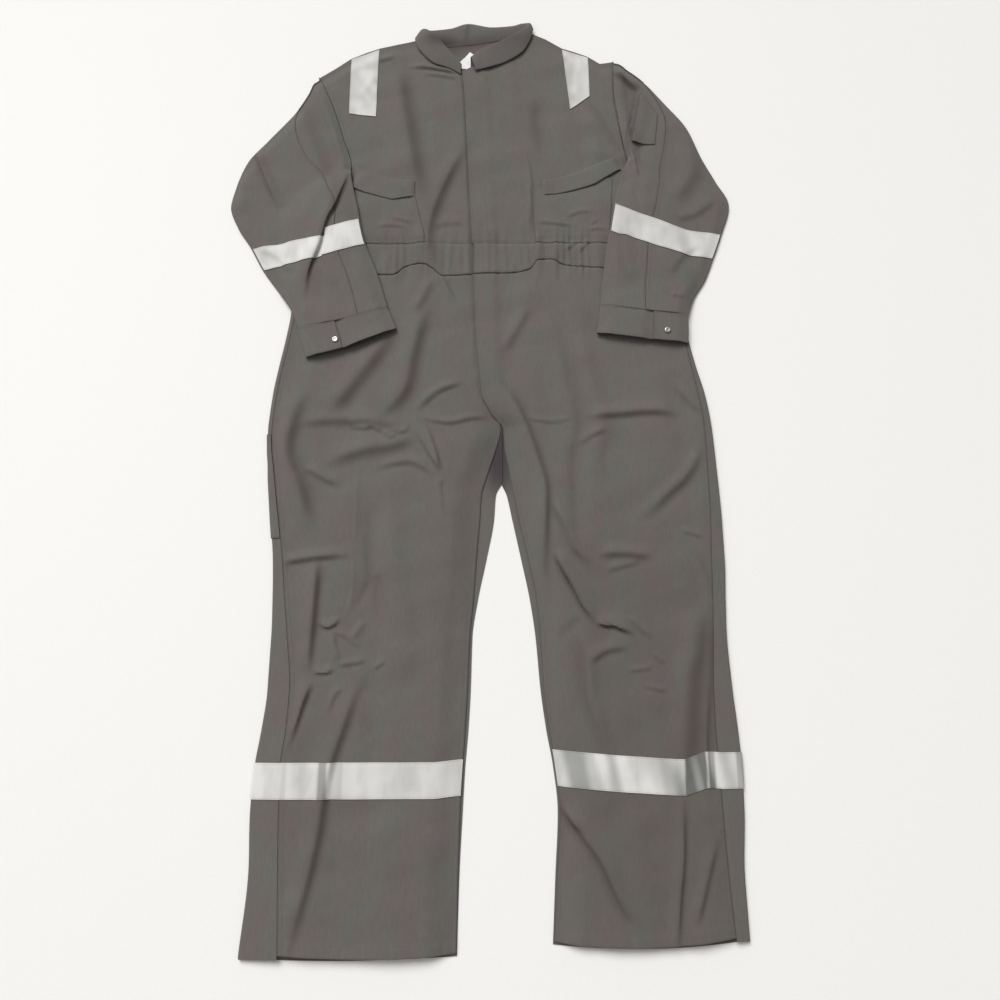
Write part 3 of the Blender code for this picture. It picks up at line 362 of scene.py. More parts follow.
# Sections round the neck: n at the neck seam, r at the roll, l at the leaf's edge.
COLLAR = Table(
    "nx ny nz rx ry rz lx ly lz facing",
    (
        (-36, 690, 6.2, -36, 697, 13, -37, 678, 10.5, 90),
        (-52, 702, 6.2, -53, 716, 17, -58, 690, 11.5, 90),
        (-78, 722, 6, -71, 738, 18.5, -86, 701, 11, 88),
        (-103, 742, 5.4, -91, 762, 17.5, -108, 722, 10.5, 78),
        (-115, 753.3, 4.6, -103, 775, 13.5, -120, 742, 9, 52),
        (-121, 759, 3.7, -110, 780, 8, -124, 761, 5.5, 0),
        (-112, 754.8, 1.6, -103, 781, 4.2, -117, 773, 2.2, -60),
        (-95, 747, 0.8, -88, 782, 3, -97, 768, 0.8, -88),
        (-62, 745, 0.8, -58, 786, 3, -62, 765, 0.7, -90),
        (-20, 750, 0.8, -24, 797, 3, -22, 771, 0.7, -90),
        (20, 757, 0.8, 20, 789, 3, 20, 770, 0.7, -90),
        (60, 765, 0.8, 58, 792, 3, 60, 776, 0.7, -90),
        (80, 771.9, 1.2, 78, 797, 3.8, 86, 782, 1.4, -75),
        (92, 776, 4.6, 90, 794, 8.6, 98, 781, 6, 0),
        (80, 762, 5.4, 79, 777, 14, 92, 757, 9.5, 60),
        (60, 740, 5.9, 57, 757, 17.5, 79, 730, 10.5, 85),
        (30, 720, 6, 33, 741, 18.5, 48, 706, 11, 90),
        (0, 705, 7.4, 3, 727, 18, 13, 690, 14, 90),
        (-19, 692, 8.8, -19, 709, 16, -10, 682, 14.5, 90),
    ),
)
# Each patch's lower and upper edge, left to right.
PATCH = {
    "chest_pocket_r": (
        ((-218, 329), (-150, 329), (-95, 329)),
        ((-224, 446), (-160, 440), (-119, 436)),
    ),
    "pocket_flap_r": (
        ((-228, 438), (-206, 427), (-155, 412), (-134, 415), (-116, 417)),
        ((-226, 484), (-200, 472), (-155, 456), (-134, 452), (-116, 451)),
    ),
    "chest_pocket_l": (
        ((97, 329), (160, 329), (226, 329)),
        ((90, 440), (150, 446), (236, 458)),
    ),
    "pocket_flap_l": (
        ((109, 421), (136, 423), (170, 432), (205, 444), (252, 476)),
        ((110, 454), (136, 457), (170, 470), (203, 484), (240, 500)),
    ),
    "shoulder_tape_r": (((-240, 592), (-191, 586)), ((-242, 715), (-191, 737))),
    "shoulder_tape_l": (((164, 603), (200, 630)), ((152, 737), (200, 719))),
    "pen_pocket": (((271, 526), (315, 526)), ((292, 634), (323, 590))),
    "neck_label": (((-48, 701), (-23, 679)), ((-21, 734), (4, 713))),
}

# Painted shade on each leg's band, where folds turn it away from the light: stretches of x,
# and how much.
BAND_SHADE = {
    Side.RIGHT: ((-231, -219, 0.6), (-214, -196, 0.2), (-286, -278, 0.2)),
    Side.LEFT: ((308, 339, 0.9), (343, 352, 0.6), (384, 400, 0.55)),
}
SNAP = Table(
    "radius rise",
    (
        (5.2, 0), (5.5, 0.5), (5.4, 1.2), (4.6, 1.9), (3.6, 2.2), (2.9, 2.1), (2.5, 1.5), (1.2, 1.3),
        (0.001, 1.25),
    ),
)

# Painted shade on the cloth, in hollows and beside folds, and a few places of darker tone:
# middle x and y, reach along both, and how much.
SHADES = (
    (250, -330, 130, 190, 0.22), (260, -650, 170, 190, 0.32), (-190, -640, 190, 170, 0.1),
    (385, -500, 40, 330, 0.22), (20, -60, 40, 90, 0.3), (-20, -250, 40, 130, 0.14),
    (-200, 330, 60, 60, 0.1), (400, 400, 60, 120, 0.12), (10, 752, 110, 16, 0.5), (-60, 742, 34, 14, 0.5),
    (-140, 431, 16, 13, 0.22), (120, 438, 10, 14, 0.24), (-252, 420, 14, 42, 0.3), (-286, 260, 16, 50, 0.2),
    (272, 640, 20, 24, 0.3), (-280, -560, 60, 60, 0.12), (-142, 286, 8, 20, 0.35), (-89, 315, 14, 22, 0.3),
    (-120, 305, 14, 18, 0.2), (135, 300, 7, 16, 0.3), (148, 305, 5, 14, 0.3), (165, 297, 5, 18, 0.25),
    (90, 372, 4, 22, 0.4), (98, 560, 14, 110, 0.14), (-75, 757, 20, 14, 0.5),
)

# ---- creases ----

LATTICE = (88, 96)  # cells before a rumple repeats
LATTICE_START = 40  # keeps the numbers of the cells above 0
REACH = 2.6  # how far a fold is felt, in widths
FOOT_AT = 1.8  # how far a fold's foot lies from its crest, in widths
FOOT_DEPTH = 0.3  # how deep it is, of the fold's height
# Painted shade beside each fold, for Drape.shade:
SHADE_WIDTH = 1.25  # the dark strip beside a fold, in widths
SHADE_AT = 1.1  # how far its middle lies from the crest, in strips
SHADE_DEPTH = 0.08  # how dark it is, for a millimetre of height
DARKEST_FOLD = 0.75


@dataclass(frozen=True)
class Crease:
    """A soft ridge (or, with a height below 0, a trough) along a path.

    The height falls away from the path as a bell curve. On the side where it falls, the bell is
    narrower by lean, and wider by as much on the other, and the crest moves over to that side by
    that many millimetres, so that a strong fold hangs over its foot.
    """

    path: tuple[Point, ...]
    width: float
    height: float
    falls: Fall = Fall.NONE
    lean: float = 0.4
    over: float = 0.0


def creases(rows: tuple[tuple, ...]) -> tuple[Crease, ...]:
    """Creases from rows of what each one holds."""
    return tuple(Crease(*row) for row in rows)


def smooth_path(path: tuple[Point, ...], points: int = 7) -> Array:
    """A Catmull-Rom curve through a path.

    Args:
        path: its points, in millimetres.
        points: how many to make of each stretch between two of them.

    Returns:
        The curve's points, in metres.
    """
    p = np.array(path, float) * MM
    p = np.concatenate([[2 * p[0] - p[1]], p, [2 * p[-1] - p[-2]]])
    t = np.linspace(0, 1, points, endpoint=False)[:, None]
    runs = []
    for a, b, c, d in zip(p[:-3], p[1:-2], p[2:-1], p[3:]):
        curve = 2 * b + (c - a) * t + (2 * a - 5 * b + 4 * c - d) * t**2
        runs.append((curve + (3 * b - a - 3 * c + d) * t**3) / 2)
    return np.concatenate([*runs, p[-2:-1]])


@dataclass(frozen=True)
class Rumple:
    """Small soft unevenness: seeded numbers on a turned lattice, eased between its points."""

    seed: int
    cell: Point
    rise: float = 1.0
    turn: float = 0.0

    def wave(self, x: Array, y: Array) -> Array:
        """The rumple as a plain number.

        Args:
            x, y: plan positions, of one shape.

        Returns:
            Numbers between -1 and 1, of that shape.
        """
        across, along = LATTICE
        lattice = np.random.default_rng(self.seed).uniform(-1, 1, (along + 1, across + 1))
        c, s = math.cos(self.turn), math.sin(self.turn)
        u = (c * x + s * y) / (self.cell[0] * MM) + LATTICE_START
        v = (c * y - s * x) / (self.cell[1] * MM) + LATTICE_START
        i, j = np.floor(u).astype(int), np.floor(v).astype(int)
        s, t = ease(u - i), ease(v - j)
        i, j = i % across, j % along
        low = mix(lattice[j, i], lattice[j, i + 1], s)
        high = mix(lattice[j + 1, i], lattice[j + 1, i + 1], s)
        return mix(low, high, t)

    def height(self, x: Array, y: Array) -> Array:
        """The rumple's height at plan positions."""
        return self.rise * MM * self.wave(x, y)


class Drape:
    """The folds of a layer of cloth as functions of the plan position."""

    def __init__(self, creases: tuple[Crease, ...], rumples: tuple[Rumple, ...] = ()) -> None:
        """Prepares each crease's curve."""
        self.creases = [(crease, smooth_path(crease.path)) for crease in creases]
        self.rumples = rumples

    @staticmethod
    def nearest(curve: Array, x: Array, y: Array) -> tuple[Array, Array, Array]:
        """Where positions lie beside a curve.

        Args:
            curve: the curve's points.
            x, y: plan positions, of one shape.

        Returns:
            Distances from the curve (above 0 on its left), the share of the curve passed, and
            the curve's left normal at the nearest spot.
        """
        best = np.full(x.shape, np.inf)
        signed = np.zeros(x.shape)
        share = np.zeros(x.shape)
        normal = np.zeros((*x.shape, 2))
        for k, (start, end) in enumerate(zip(curve[:-1], curve[1:])):
            way = end - start
            length = math.hypot(*way)
            t = np.clip(((x - start[0]) * way[0] + (y - start[1]) * way[1]) / length**2, 0, 1)
            dx, dy = x - start[0] - t * way[0], y - start[1] - t * way[1]
            distance = np.hypot(dx, dy)
            closer = distance < best
            best = np.where(closer, distance, best)
            signed = np.where(closer, distance * np.sign(way[0] * dy - way[1] * dx), signed)
            share = np.where(closer, (k + t) / (len(curve) - 1), share)
            normal[closer] = (-way[1] / length, way[0] / length)
        return signed, share, normal

    def reached(self, x: Array, y: Array) -> Iterator[tuple[Crease, float, Array, Array, Array, Array]]:
        """Goes through the creases that are felt at some of the positions.

        Args:
            x: plan positions in a row.
            y: plan positions in a row of that length.

        Yields:
            A crease, 1 where it is steep on its left, -1 on its right and 0 on neither, which
            positions it reaches, and what nearest says of those.
        """
        for crease, curve in self.creases:
            reach = REACH * crease.width * (1 + crease.lean) * MM
            low, high = curve.min(axis=0) - reach, curve.max(axis=0) + reach
            near = (x > low[0]) & (x < high[0]) & (y > low[1]) & (y < high[1])
            if near.any():
                away = curve[-1] - curve[0]
                steep = np.sign(np.array(crease.falls.value, float) @ (-away[1], away[0]))
                yield crease, steep, near, *self.nearest(curve, x[near], y[near])

    def shade(self, points: Array) -> Array:
        """How much painted shade darkens the cloth beside each fold, on its steep side or in its trough.

        Args:
            points: a grid of points on the cloth.

        Returns:
            A number for each, from 0 for no darker.
        """
        x, y = points[..., 0].ravel(), points[..., 1].ravel()
        total = np.zeros(x.shape)
        for crease, steep, near, d, t, _ in self.reached(x, y):
            if crease.height > 0 and crease.falls is Fall.NONE:
                continue
            spread = SHADE_WIDTH * crease.width * MM * (1 - crease.lean * abs(steep))
            ends = ease(t / 0.25) * ease((1 - t) / 0.25)
            strip = bell(d * steep / spread - SHADE_AT, 1) if steep else bell(d, spread)
            total[near] += SHADE_DEPTH * abs(crease.height) * ends * strip
        return np.clip(total, 0, DARKEST_FOLD).reshape(points.shape[:-1])

    def read(self, x: Array, y: Array) -> tuple[Array, Array]:
        """The height of the folds, and how far they shift the cloth in plan.

        Args:
            x, y: plan positions, of one shape.

        Returns:
            Heights of that shape, and shifts with x and y last.
        """
        x, y = np.broadcast_arrays(x, y)
        flat_x, flat_y = x.ravel(), y.ravel()
        height = np.zeros(flat_x.shape)
        shift = np.zeros((flat_x.size, 2))
        for crease, steep, near, d, t, normal in self.reached(flat_x, flat_y):
            spread = crease.width * MM * (1 - crease.lean * steep * np.sign(d))
            ends = ease(t / 0.3) * ease((1 - t) / 0.3)
            crest = bell(d, spread) * ends
            foot = bell(d * steep - FOOT_AT * spread, spread) * ends * abs(steep)
            height[near] += crease.height * MM * (crest - FOOT_DEPTH * foot)
            shift[near] += (crease.over * MM * steep * crest**2)[:, None] * normal
        for rumple in self.rumples:
            height += rumple.height(flat_x, flat_y)
        return height.reshape(x.shape), shift.reshape(*x.shape, 2)


LEFT, RIGHT, DOWN = Fall.LEFT, Fall.RIGHT, Fall.DOWN

# Each crease's path, width and height, the side it falls to, its lean and how far it hangs over.
FRONT_CREASES = (
    # chest, right
    (((-160, 690), (-150, 640), (-139, 578), (-121, 472), (-98, 345)), 18, 6.0, LEFT, 0.35),
    (((-92, 600), (-84, 500), (-97, 380)), 18, 2.6),
    (((-20, 548), (-67, 446), (-93, 350), (-84, 262)), 14, 5.0, LEFT, 0.4, 1),
    (((-144, 700), (-98, 695), (-62, 688), (-40, 679)), 5, 3.4, DOWN, 0.4, 1.5),
    (((-110, 681), (-70, 676), (-38, 668)), 5, 2.2, DOWN),
    (((-196, 708), (-160, 722)), 6, 2.4, DOWN),
    (((-187, 358), (-156, 363), (-124, 357)), 4.5, 1.4, DOWN),
    (((-156, 378), (-136, 372), (-112, 366)), 4, 1.2, DOWN),
    (((-84, 356), (-70, 366), (-45, 369), (-19, 369)), 8, 1.6, DOWN),
    # chest, left
    (((102, 632), (107, 559), (119, 489)), 10, -2.4),
    (((140, 650), (148, 570), (166, 500)), 20, 2.4),
    (((190, 600), (206, 540), (214, 470)), 17, 2.6),
    (((203, 632), (232, 570), (264, 497)), 8, 3.0, RIGHT, 0.3),
    (((79, 515), (90, 455), (90, 388), (91, 360)), 5, 1.8, LEFT),
    (((99, 350), (101, 321), (97, 290)), 5, 2.0, RIGHT),
    (((95, 371), (130, 365), (170, 361)), 5, 1.6, DOWN),
    (((148, 377), (178, 388), (201, 386)), 5, 1.5, DOWN),
    (((192, 361), (207, 372)), 3.5, 1.2, LEFT),
    (((188, 350), (205, 355), (226, 351)), 4, 1.5, DOWN),
    (((150, 311), (158, 322), (171, 331)), 3.5, 1.8, LEFT),
    (((170, 306), (182, 322), (195, 336)), 3.5, 1.8, LEFT),
    # waist and hip, right
    (((-72, 274), (-40, 211)), 5, 3.0, LEFT),
    (((-81, 262), (-114, 190)), 8, 3.0, LEFT, 0.2),
    (((-88, 237), (-105, 160), (-115, 111), (-128, 48), (-178, 0)), 17, 6.0, LEFT, 0.45),
    (((-140, 172), (-201, 80), (-256, 8)), 16, 5.6, LEFT, 0.35),
    (((-286, 66), (-306, 9), (-313, -57), (-290, -114), (-276, -158), (-252, -192)), 15, 6.4, LEFT, 0.4),
    (((-312, -4), (-213, 3), (-104, -10)), 10, 3.2, DOWN, 0.3),
    (((-212, 4), (-206, -9), (-199, -18)), 4, 2.6, RIGHT),
    (((-200, -8), (-188, -14), (-174, -8)), 4, 2.8, DOWN),
    (((-180, -6), (-168, -14), (-156, -20)), 4, 3.0, DOWN),
    (((-158, -15), (-146, -27), (-134, -30)), 4, 2.6, DOWN),
    (((-143, -13), (-129, -20), (-113, -18)), 4, 2.8, DOWN),
    (((-119, -19), (-114, -6)), 3, 1.4, LEFT),
    (((-268, -76), (-192, -50), (-139, -40), (-100, -24)), 13, 4.4, DOWN, 0.3),
    (((-284, -76), (-250, -96), (-216, -112)), 8, 3.2, DOWN),
    (((-107, -6), (-77, -60), (-59, -90)), 4, 3.6, RIGHT, 0.5, 1),
    (((-87, -6), (-71, -50), (-59, -90)), 4, 3.6, LEFT, 0.5, 1),
    (((-106, 16), (-68, 51), (-24, 69)), 6, 3.2, DOWN),
    (((-100, 6), (-49, -3), (-13, 5), (20, 7)), 5, 2.8, DOWN),
    # knee and lower leg, right
    (((-180, -84), (-124, -71), (-97, -74), (-58, -101)), 7, 2.6, DOWN),
    (((-56, -99), (-62, -112), (-54, -164)), 5, 1.8, LEFT),
    (((-197, -50), (-196, -114), (-195, -172), (-196, -222)), 4, 1.4, RIGHT),
    (((-332, -236), (-305, -234), (-254, -227), (-186, -222)), 7, 4.4, DOWN),
    (((-254, -222), (-253, -277), (-256, -360), (-256, -412)), 9, 4.6, LEFT, 0.5, 0.5),
    (((-240, -235), (-243, -300), (-245, -392)), 6, -2.2),
    (((-248, -412), (-261, -446), (-270, -478), (-284, -524)), 9, 5.0, LEFT, 0.55, 1.5),
    (((-200, -425), (-215, -440), (-223, -470)), 5, 1.8, LEFT),
    (((-197, -218), (-195, -277), (-203, -327)), 4, 1.5, RIGHT),
    (((-246, -328), (-228, -335), (-209, -322)), 5, 3.2, DOWN, 0.4, 2),
    (((-250, -403), (-232, -404), (-214, -400)), 5, 3.0, DOWN, 0.4, 1.5),
    (((-222, -338), (-216, -368), (-206, -390)), 4, 2.2, LEFT),
    (((-214, -394), (-190, -391), (-164, -386)), 4.5, 2.4, DOWN),
    (((-158, -400), (-138, -387)), 4, 1.8, DOWN),
    (((-219, -341), (-198, -353), (-176, -371)), 4, 1.8, DOWN),
    (((-193, -356), (-173, -325)), 6, 2.8),
    (((-173, -120), (-168, -248), (-156, -272), (-146, -345)), 8, -2.6),
    (((-138, -120), (-132, -230), (-112, -350), (-110, -430)), 22, 4.4),
    (((-166, -262), (-186, -310)), 6, -1.8),
    (((-160, -378), (-185, -435), (-199, -479), (-217, -537), (-225, -586), (-230, -633), (-243, -702),
        (-259, -765), (-272, -830)), 13, 5.2, LEFT, 0.5, 0.5),
    (((-120, -560), (-112, -680), (-104, -840)), 24, 3.0),
    # hip and thigh, left
    (((110, -576), (134, -606), (160, -634)), 5, 4.2, DOWN, 0.5, 1.5),
    (((84, 212), (62, 165), (34, 114)), 10, 3.0, LEFT, 0.3),
    (((18, 66), (42, 50), (60, 26), (78, -14), (93, -59), (107, -112), (105, -190), (103, -248), (110,
        -310)), 11, 5.4, LEFT, 0.5),
    (((131, 250), (138, 155), (152, 91), (166, 20), (167, -24), (158, -60), (157, -126), (157, -185),
        (166, -232)), 9, -2.8),
    (((160, 240), (168, 150), (190, 60), (200, 0), (187, -80), (184, -180)), 17, 4.4),
    (((72, 5), (120, -2), (158, 5)), 4, 1.8, DOWN),
    (((168, 5), (224, 12), (284, 17), (338, 12)), 9, 4.4, DOWN),
    (((158, -44), (185, -26), (214, -15)), 6, 2.4, DOWN),
    (((322, 72), (353, 30), (374, 14)), 7, 2.6, RIGHT),
    (((374, -28), (336, -91), (305, -121), (252, -170)), 9, 4.2, DOWN, 0.2),
    # knee and lower leg, left
    (((112, -126), (141, -177), (162, -221), (180, -250)), 7, 3.4, RIGHT),
    (((120, -130), (144, -203), (176, -238)), 4, 1.6, RIGHT),
    (((122, -214), (131, -237), (148, -268), (168, -307), (196, -343)), 8, 6.6, RIGHT, 0.6, 3),
    (((180, -331), (200, -331), (218, -335), (248, -351)), 7, 5.6, DOWN, 0.55, 3),
    (((132, -246), (150, -278), (176, -312)), 4, -1.6),
    (((234, -318), (250, -336), (270, -356)), 5, 2.4, RIGHT),
    (((168, -390), (197, -371), (234, -365)), 8, 3.2, DOWN),
    (((268, -374), (286, -393)), 4, 1.6, RIGHT),
    (((184, -222), (234, -220), (280, -227)), 8, 4.0, DOWN, 0.3),
    (((196, -250), (262, -231)), 6, 1.8, DOWN),
    (((226, -403), (270, -397)), 4, 1.6, DOWN),
    (((250, -424), (290, -432)), 4, 1.6, DOWN),
    (((320, -183), (358, -196)), 4, 1.8, DOWN),
    (((338, -228), (354, -251), (360, -277), (367, -304)), 6, 2.2, LEFT),
    (((166, -344), (169, -387), (171, -435), (179, -466), (200, -535)), 9, 4.0, RIGHT, 0.3),
    (((120, -358), (168, -318)), 8, -1.6),
    (((348, -284), (333, -360), (318, -414), (306, -518), (302, -590)), 16, 5.2, LEFT, 0.1),
    (((360, -300), (356, -380), (347, -450), (341, -520), (341, -600)), 4, 3.2, LEFT, 0.3),
    (((366, -320), (362, -400), (352, -470), (348, -530), (348, -590)), 4.5, -2.8),
    (((302, -570), (297, -656), (288, -725), (280, -800)), 7, 4.4, LEFT, 0.4, 1.5),
    (((352, -626), (334, -680), (321, -721), (308, -760)), 7, 3.4, LEFT),
    (((350, -626), (368, -628)), 4, 1.6, DOWN),
    (((116, -574), (139, -610), (156, -632), (183, -668), (212, -728), (236, -756)), 10, 5.4, RIGHT, 0.5,
        2),
    (((228, -560), (236, -680), (246, -820)), 22, 2.6),
)

SLEEVE_CREASES = {
    Side.RIGHT: (
        (((-226, 500), (-238, 455), (-258, 399), (-271, 371), (-283, 315), (-294, 280), (-298, 241),
            (-300, 200)), 11, 5.4, LEFT, 0.6, 5),
        (((-418, 540), (-401, 503), (-376, 445), (-350, 385)), 6, 5.4, RIGHT, 0.5, 1.5),
        (((-340, 620), (-305, 520), (-262, 410)), 16, 2.6, LEFT, 0.3),
        (((-425, 480), (-430, 430), (-412, 380)), 15, 2.4),
        (((-280, 282), (-262, 262), (-240, 236)), 7, 1.8),
        (((-390, 320), (-350, 300), (-318, 262)), 8, 1.8, DOWN),
        (((-300, 640), (-268, 560), (-246, 500)), 10, 1.8, LEFT),
        (((-340, 400), (-328, 340), (-330, 280)), 12, 2.0),
    ),
    Side.LEFT: (
        (((240, 692), (271, 664), (294, 640)), 9, 6.4, DOWN, 0.5, 2),
        (((298, 668), (284, 590), (272, 540), (260, 480)), 9, 5.0, RIGHT, 0.6, 5),
        (((371, 560), (378, 481), (362, 444), (334, 405)), 15, 3.4, LEFT, 0.2),
        (((270, 514), (275, 488), (282, 450)), 3.5, 3.4, LEFT, 0.5, 1),
        (((256, 362), (252, 300), (261, 236)), 9, 3.0, RIGHT),
        (((324, 223), (352, 220)), 4, 1.4, DOWN),
        (((420, 420), (380, 386), (340, 376)), 9, 2.0, DOWN),
        (((300, 470), (292, 420), (302, 370)), 12, 2.2),
        (((385, 330), (350, 300), (322, 258)), 10, 1.8, DOWN),
    ),
}

FRONT_RUMPLES = (
    Rumple(11, (58, 46), 0.9, 0.4),
    Rumple(12, (31, 24), 0.5, -0.5),
    Rumple(13, (15, 12), 0.2, 0.9),
    Rumple(14, (30, 170), 1.5, 0.06),
    Rumple(15, (105, 34), 1.2, 0.25),
)

FRONT = Drape(creases(FRONT_CREASES), FRONT_RUMPLES)
SLEEVE_DRAPE = {
    side: Drape(
        creases(rows),
        (
            Rumple(71 + side.value, (46, 30), 0.8, 0.7 * side.value),
            Rumple(75 + side.value, (20, 16), 0.35, -0.3),
        ),
    )
    for side, rows in SLEEVE_CREASES.items()
}
ELASTIC = (Rumple(31, (6.5, 60), 1.3, 0.05), Rumple(32, (15, 75), 1.2, -0.08))


# ---- grids and meshes ----

EVEN_SEAMS = (0.4, 0.4, 0.4, 0.4)
DARKEST_PLACE = 0.6
DARKEST_CLOTH = 0.85


def steps(length: float, size: float) -> int:
    """How many steps of about this size make up the length."""
    return max(2, round(length / size))


def grid_of(x: Array, y: Array, z: Array) -> Array:
    """Points from three arrays that broadcast to one shape."""
    return np.stack(np.broadcast_arrays(x, y, z), axis=-1).astype(float)


def shares(x: Array) -> tuple[Array, Array]:
    """Shares from 0 to 1 across the columns and along the rows of a grid like x."""
    return np.linspace(0, 1, x.shape[1])[None, :], np.linspace(0, 1, x.shape[0])[:, None]


def normals(points: Array) -> Array:
    """A grid's unit normals, columns crossed with rows."""
    normal = np.cross(np.gradient(points, axis=1), np.gradient(points, axis=0))
    return normal / np.maximum(np.linalg.norm(normal, axis=2, keepdims=True), 1e-12)


def resample(path: Array, count: int) -> Array:
    """Points at even steps along a polyline.

    Args:
        path: its points.
        count: how many to make.

    Returns:
        The points.
    """
    passed = np.concatenate([[0], np.cumsum(np.linalg.norm(np.diff(path, axis=0), axis=1))])
    at = np.linspace(0, passed[-1], count)
    return np.stack([np.interp(at, passed, path[:, k]) for k in range(path.shape[1])], axis=1)


def inset_line(points: Array, rim: Rim, distance: float) -> Array:
    """The line on a grid at a distance from one of its edges.

    Args:
        points: the grid.
        rim: the edge.
        distance: from the edge, along the surface.

    Returns:
        The line's points, one for each row or column that it crosses.
    """
    if rim in (Rim.LEFT, Rim.RIGHT):
        points = points.transpose(1, 0, 2)
    if rim in (Rim.HIGH, Rim.RIGHT):
        points = points[::-1]
    run = np.linalg.norm(np.diff(points, axis=0), axis=2)
    passed = np.concatenate([np.zeros((1, run.shape[1])), np.cumsum(run, axis=0)])
    after = np.clip((passed < distance).sum(axis=0), 1, len(points) - 1)
    cols = np.arange(points.shape[1])
    low, high = passed[after - 1, cols], passed[after, cols]
    t = np.clip((distance - low) / np.maximum(high - low, 1e-9), 0, 1)[:, None]
    return mix(points[after - 1, cols], points[after, cols], t)


def add_mesh(
    name: str,
    points: Array,
    faces: Array | list[tuple[int, ...]],
    finish: Finish,
    uv: Array | None = None,
    marks: Marks | None = None,
    sharp: float = 50,
) -> bpy.types.Object:
    """A mesh object at the origin.

    Args:
        name: the piece's name.
        points: vertices, in metres.
        faces: quads or triangles, or a list of faces of several sizes.
        finish: its finish.
        uv: a map position for each vertex, in metres.
        marks: further numbers for each vertex, by attribute name.
        sharp: edges that turn by more degrees than this are sharp.

    Returns:
        The object.
    """
    mesh = bpy.data.meshes.new(name)
    mesh.from_pydata(points, [], faces)
    if uv is not None:
        corner = np.empty(len(mesh.loops), int)
        mesh.loops.foreach_get("vertex_index", corner)
        mesh.uv_layers.new(name="cloth").data.foreach_set("uv", uv[corner].ravel())
    for key, values in (marks or {}).items():
        mesh.attributes.new(key, "FLOAT", "POINT").data.foreach_set("value", values)
    mesh.shade_smooth()
    mesh.set_sharp_from_angle(angle=math.radians(sharp))
    mesh.materials.append(bpy.data.materials[finish.look])
    obj = bpy.data.objects.new(name, mesh)
    bpy.context.scene.collection.objects.link(obj)
    return obj


def arc_map(points: Array) -> Array:
    """A map of a grid in metres: the mean distances along its columns and rows.

    Args:
        points: the grid.

    Returns:
        A map position for each point.
    """
    across = np.linalg.norm(np.diff(points, axis=1), axis=2).mean(axis=0)
    along = np.linalg.norm(np.diff(points, axis=0), axis=2).mean(axis=1)
    u = np.concatenate([[0], np.cumsum(across)])
    v = np.concatenate([[0], np.cumsum(along)])
    return np.stack(np.meshgrid(u, v), axis=-1)


def shade_at(points: Array) -> Array:
    """How much painted shade and darker tone darken the cloth at each point: a sum of bells about
    the places in SHADES.

    Args:
        points: a grid of points.

    Returns:
        A number for each, from 0 for no darker.
    """
    total = np.zeros(points.shape[:-1])
    for x, y, reach_x, reach_y, depth in SHADES:
        total += depth * bell(points[..., 0] / MM - x, reach_x) * bell(points[..., 1] / MM - y, reach_y)
    return np.clip(total, 0, DARKEST_PLACE)


def shell(
    name: str, outer: Array, inner: Array, finish: Finish, marks: Marks | None = None,
    seams: Seams = EVEN_SEAMS,
) -> bpy.types.Object:
    """A closed sheet of cloth: an outer face, an inner face, and a rim round both.

    Args:
        name: the piece's name.
        outer: the outer face, whose columns crossed with rows point outwards.
        inner: the inner face.
        finish: its finish.
        marks: further numbers for each outer point.
        seams: how dark the low, high, left and right edges are: dark seams, and painted shade in
            the gaps under free edges such as the fly's and the flaps'.

    Returns:
        The object.
    """
    rows, cols = outer.shape[:2]
    count = rows * cols
    at = np.arange(count).reshape(rows, cols)
    quads = np.stack([at[:-1, :-1], at[:-1, 1:], at[1:, 1:], at[1:, :-1]], -1).reshape(-1, 4)
    loop = np.concatenate([at[0, :-1], at[:-1, -1], at[-1, :0:-1], at[:0:-1, 0]])
    after = np.roll(loop, -1)
    rim = np.stack([loop + count, after + count, after, loop], -1)
    faces = np.concatenate([quads, quads[:, ::-1] + count, rim])
    points = np.concatenate([outer.reshape(-1, 3), inner.reshape(-1, 3)])
    uv = np.tile(arc_map(outer).reshape(-1, 2), (2, 1))
    edge = np.zeros((rows, cols))
    edge[:, 0], edge[:, -1] = seams[2:]
    edge[0] = np.maximum(edge[0], seams[0]) * (seams[0] > 0)
    edge[-1] = np.maximum(edge[-1], seams[1]) * (seams[1] > 0)
    marks = {"seam": edge, "shade": shade_at(outer), **(marks or {})}
    both = {key: np.tile(value.ravel(), 2) for key, value in marks.items()}
    return add_mesh(name, points, faces, finish, uv, both)


def piece_name(node: str) -> str:
    """The name of the piece that takes a solid's place."""
    return f"sewn_{node}"


def declare(obj: bpy.types.Object, finish: Finish, *nodes: str) -> bpy.types.Object:
    """Rides a piece on the suit's one body, in place of its solids.

    Args:
        obj: the piece.
        finish: not used.
        nodes: the solids that it replaces, the first of which gives it its name.

    Returns:
        The piece.
    """
    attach(obj, "root")
    if nodes:
        obj.name = piece_name(nodes[0])
        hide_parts(*nodes)
    return obj


def cut_size(points: Array) -> tuple[Point, float]:
    """The flat cut of a sheet. A cut that sweeps round is stated narrower, so that it fills a
    third of its rectangle.

    Args:
        points: its outer face.

    Returns:
        Its greatest width and length, and its area.
    """
    width = np.linalg.norm(np.diff(points, axis=1), axis=2).sum(axis=1).max()
    length = np.linalg.norm(np.diff(points, axis=0), axis=2).sum(axis=0).max()
    half = np.cross(points[1:, 1:] - points[:-1, :-1], points[:-1, 1:] - points[1:, :-1])
    area = np.linalg.norm(half, axis=2).sum() / 2
    width = min(width, 3 * area / length)
    return (round(float(width), 4), round(float(length), 4)), float(min(area, width * length))


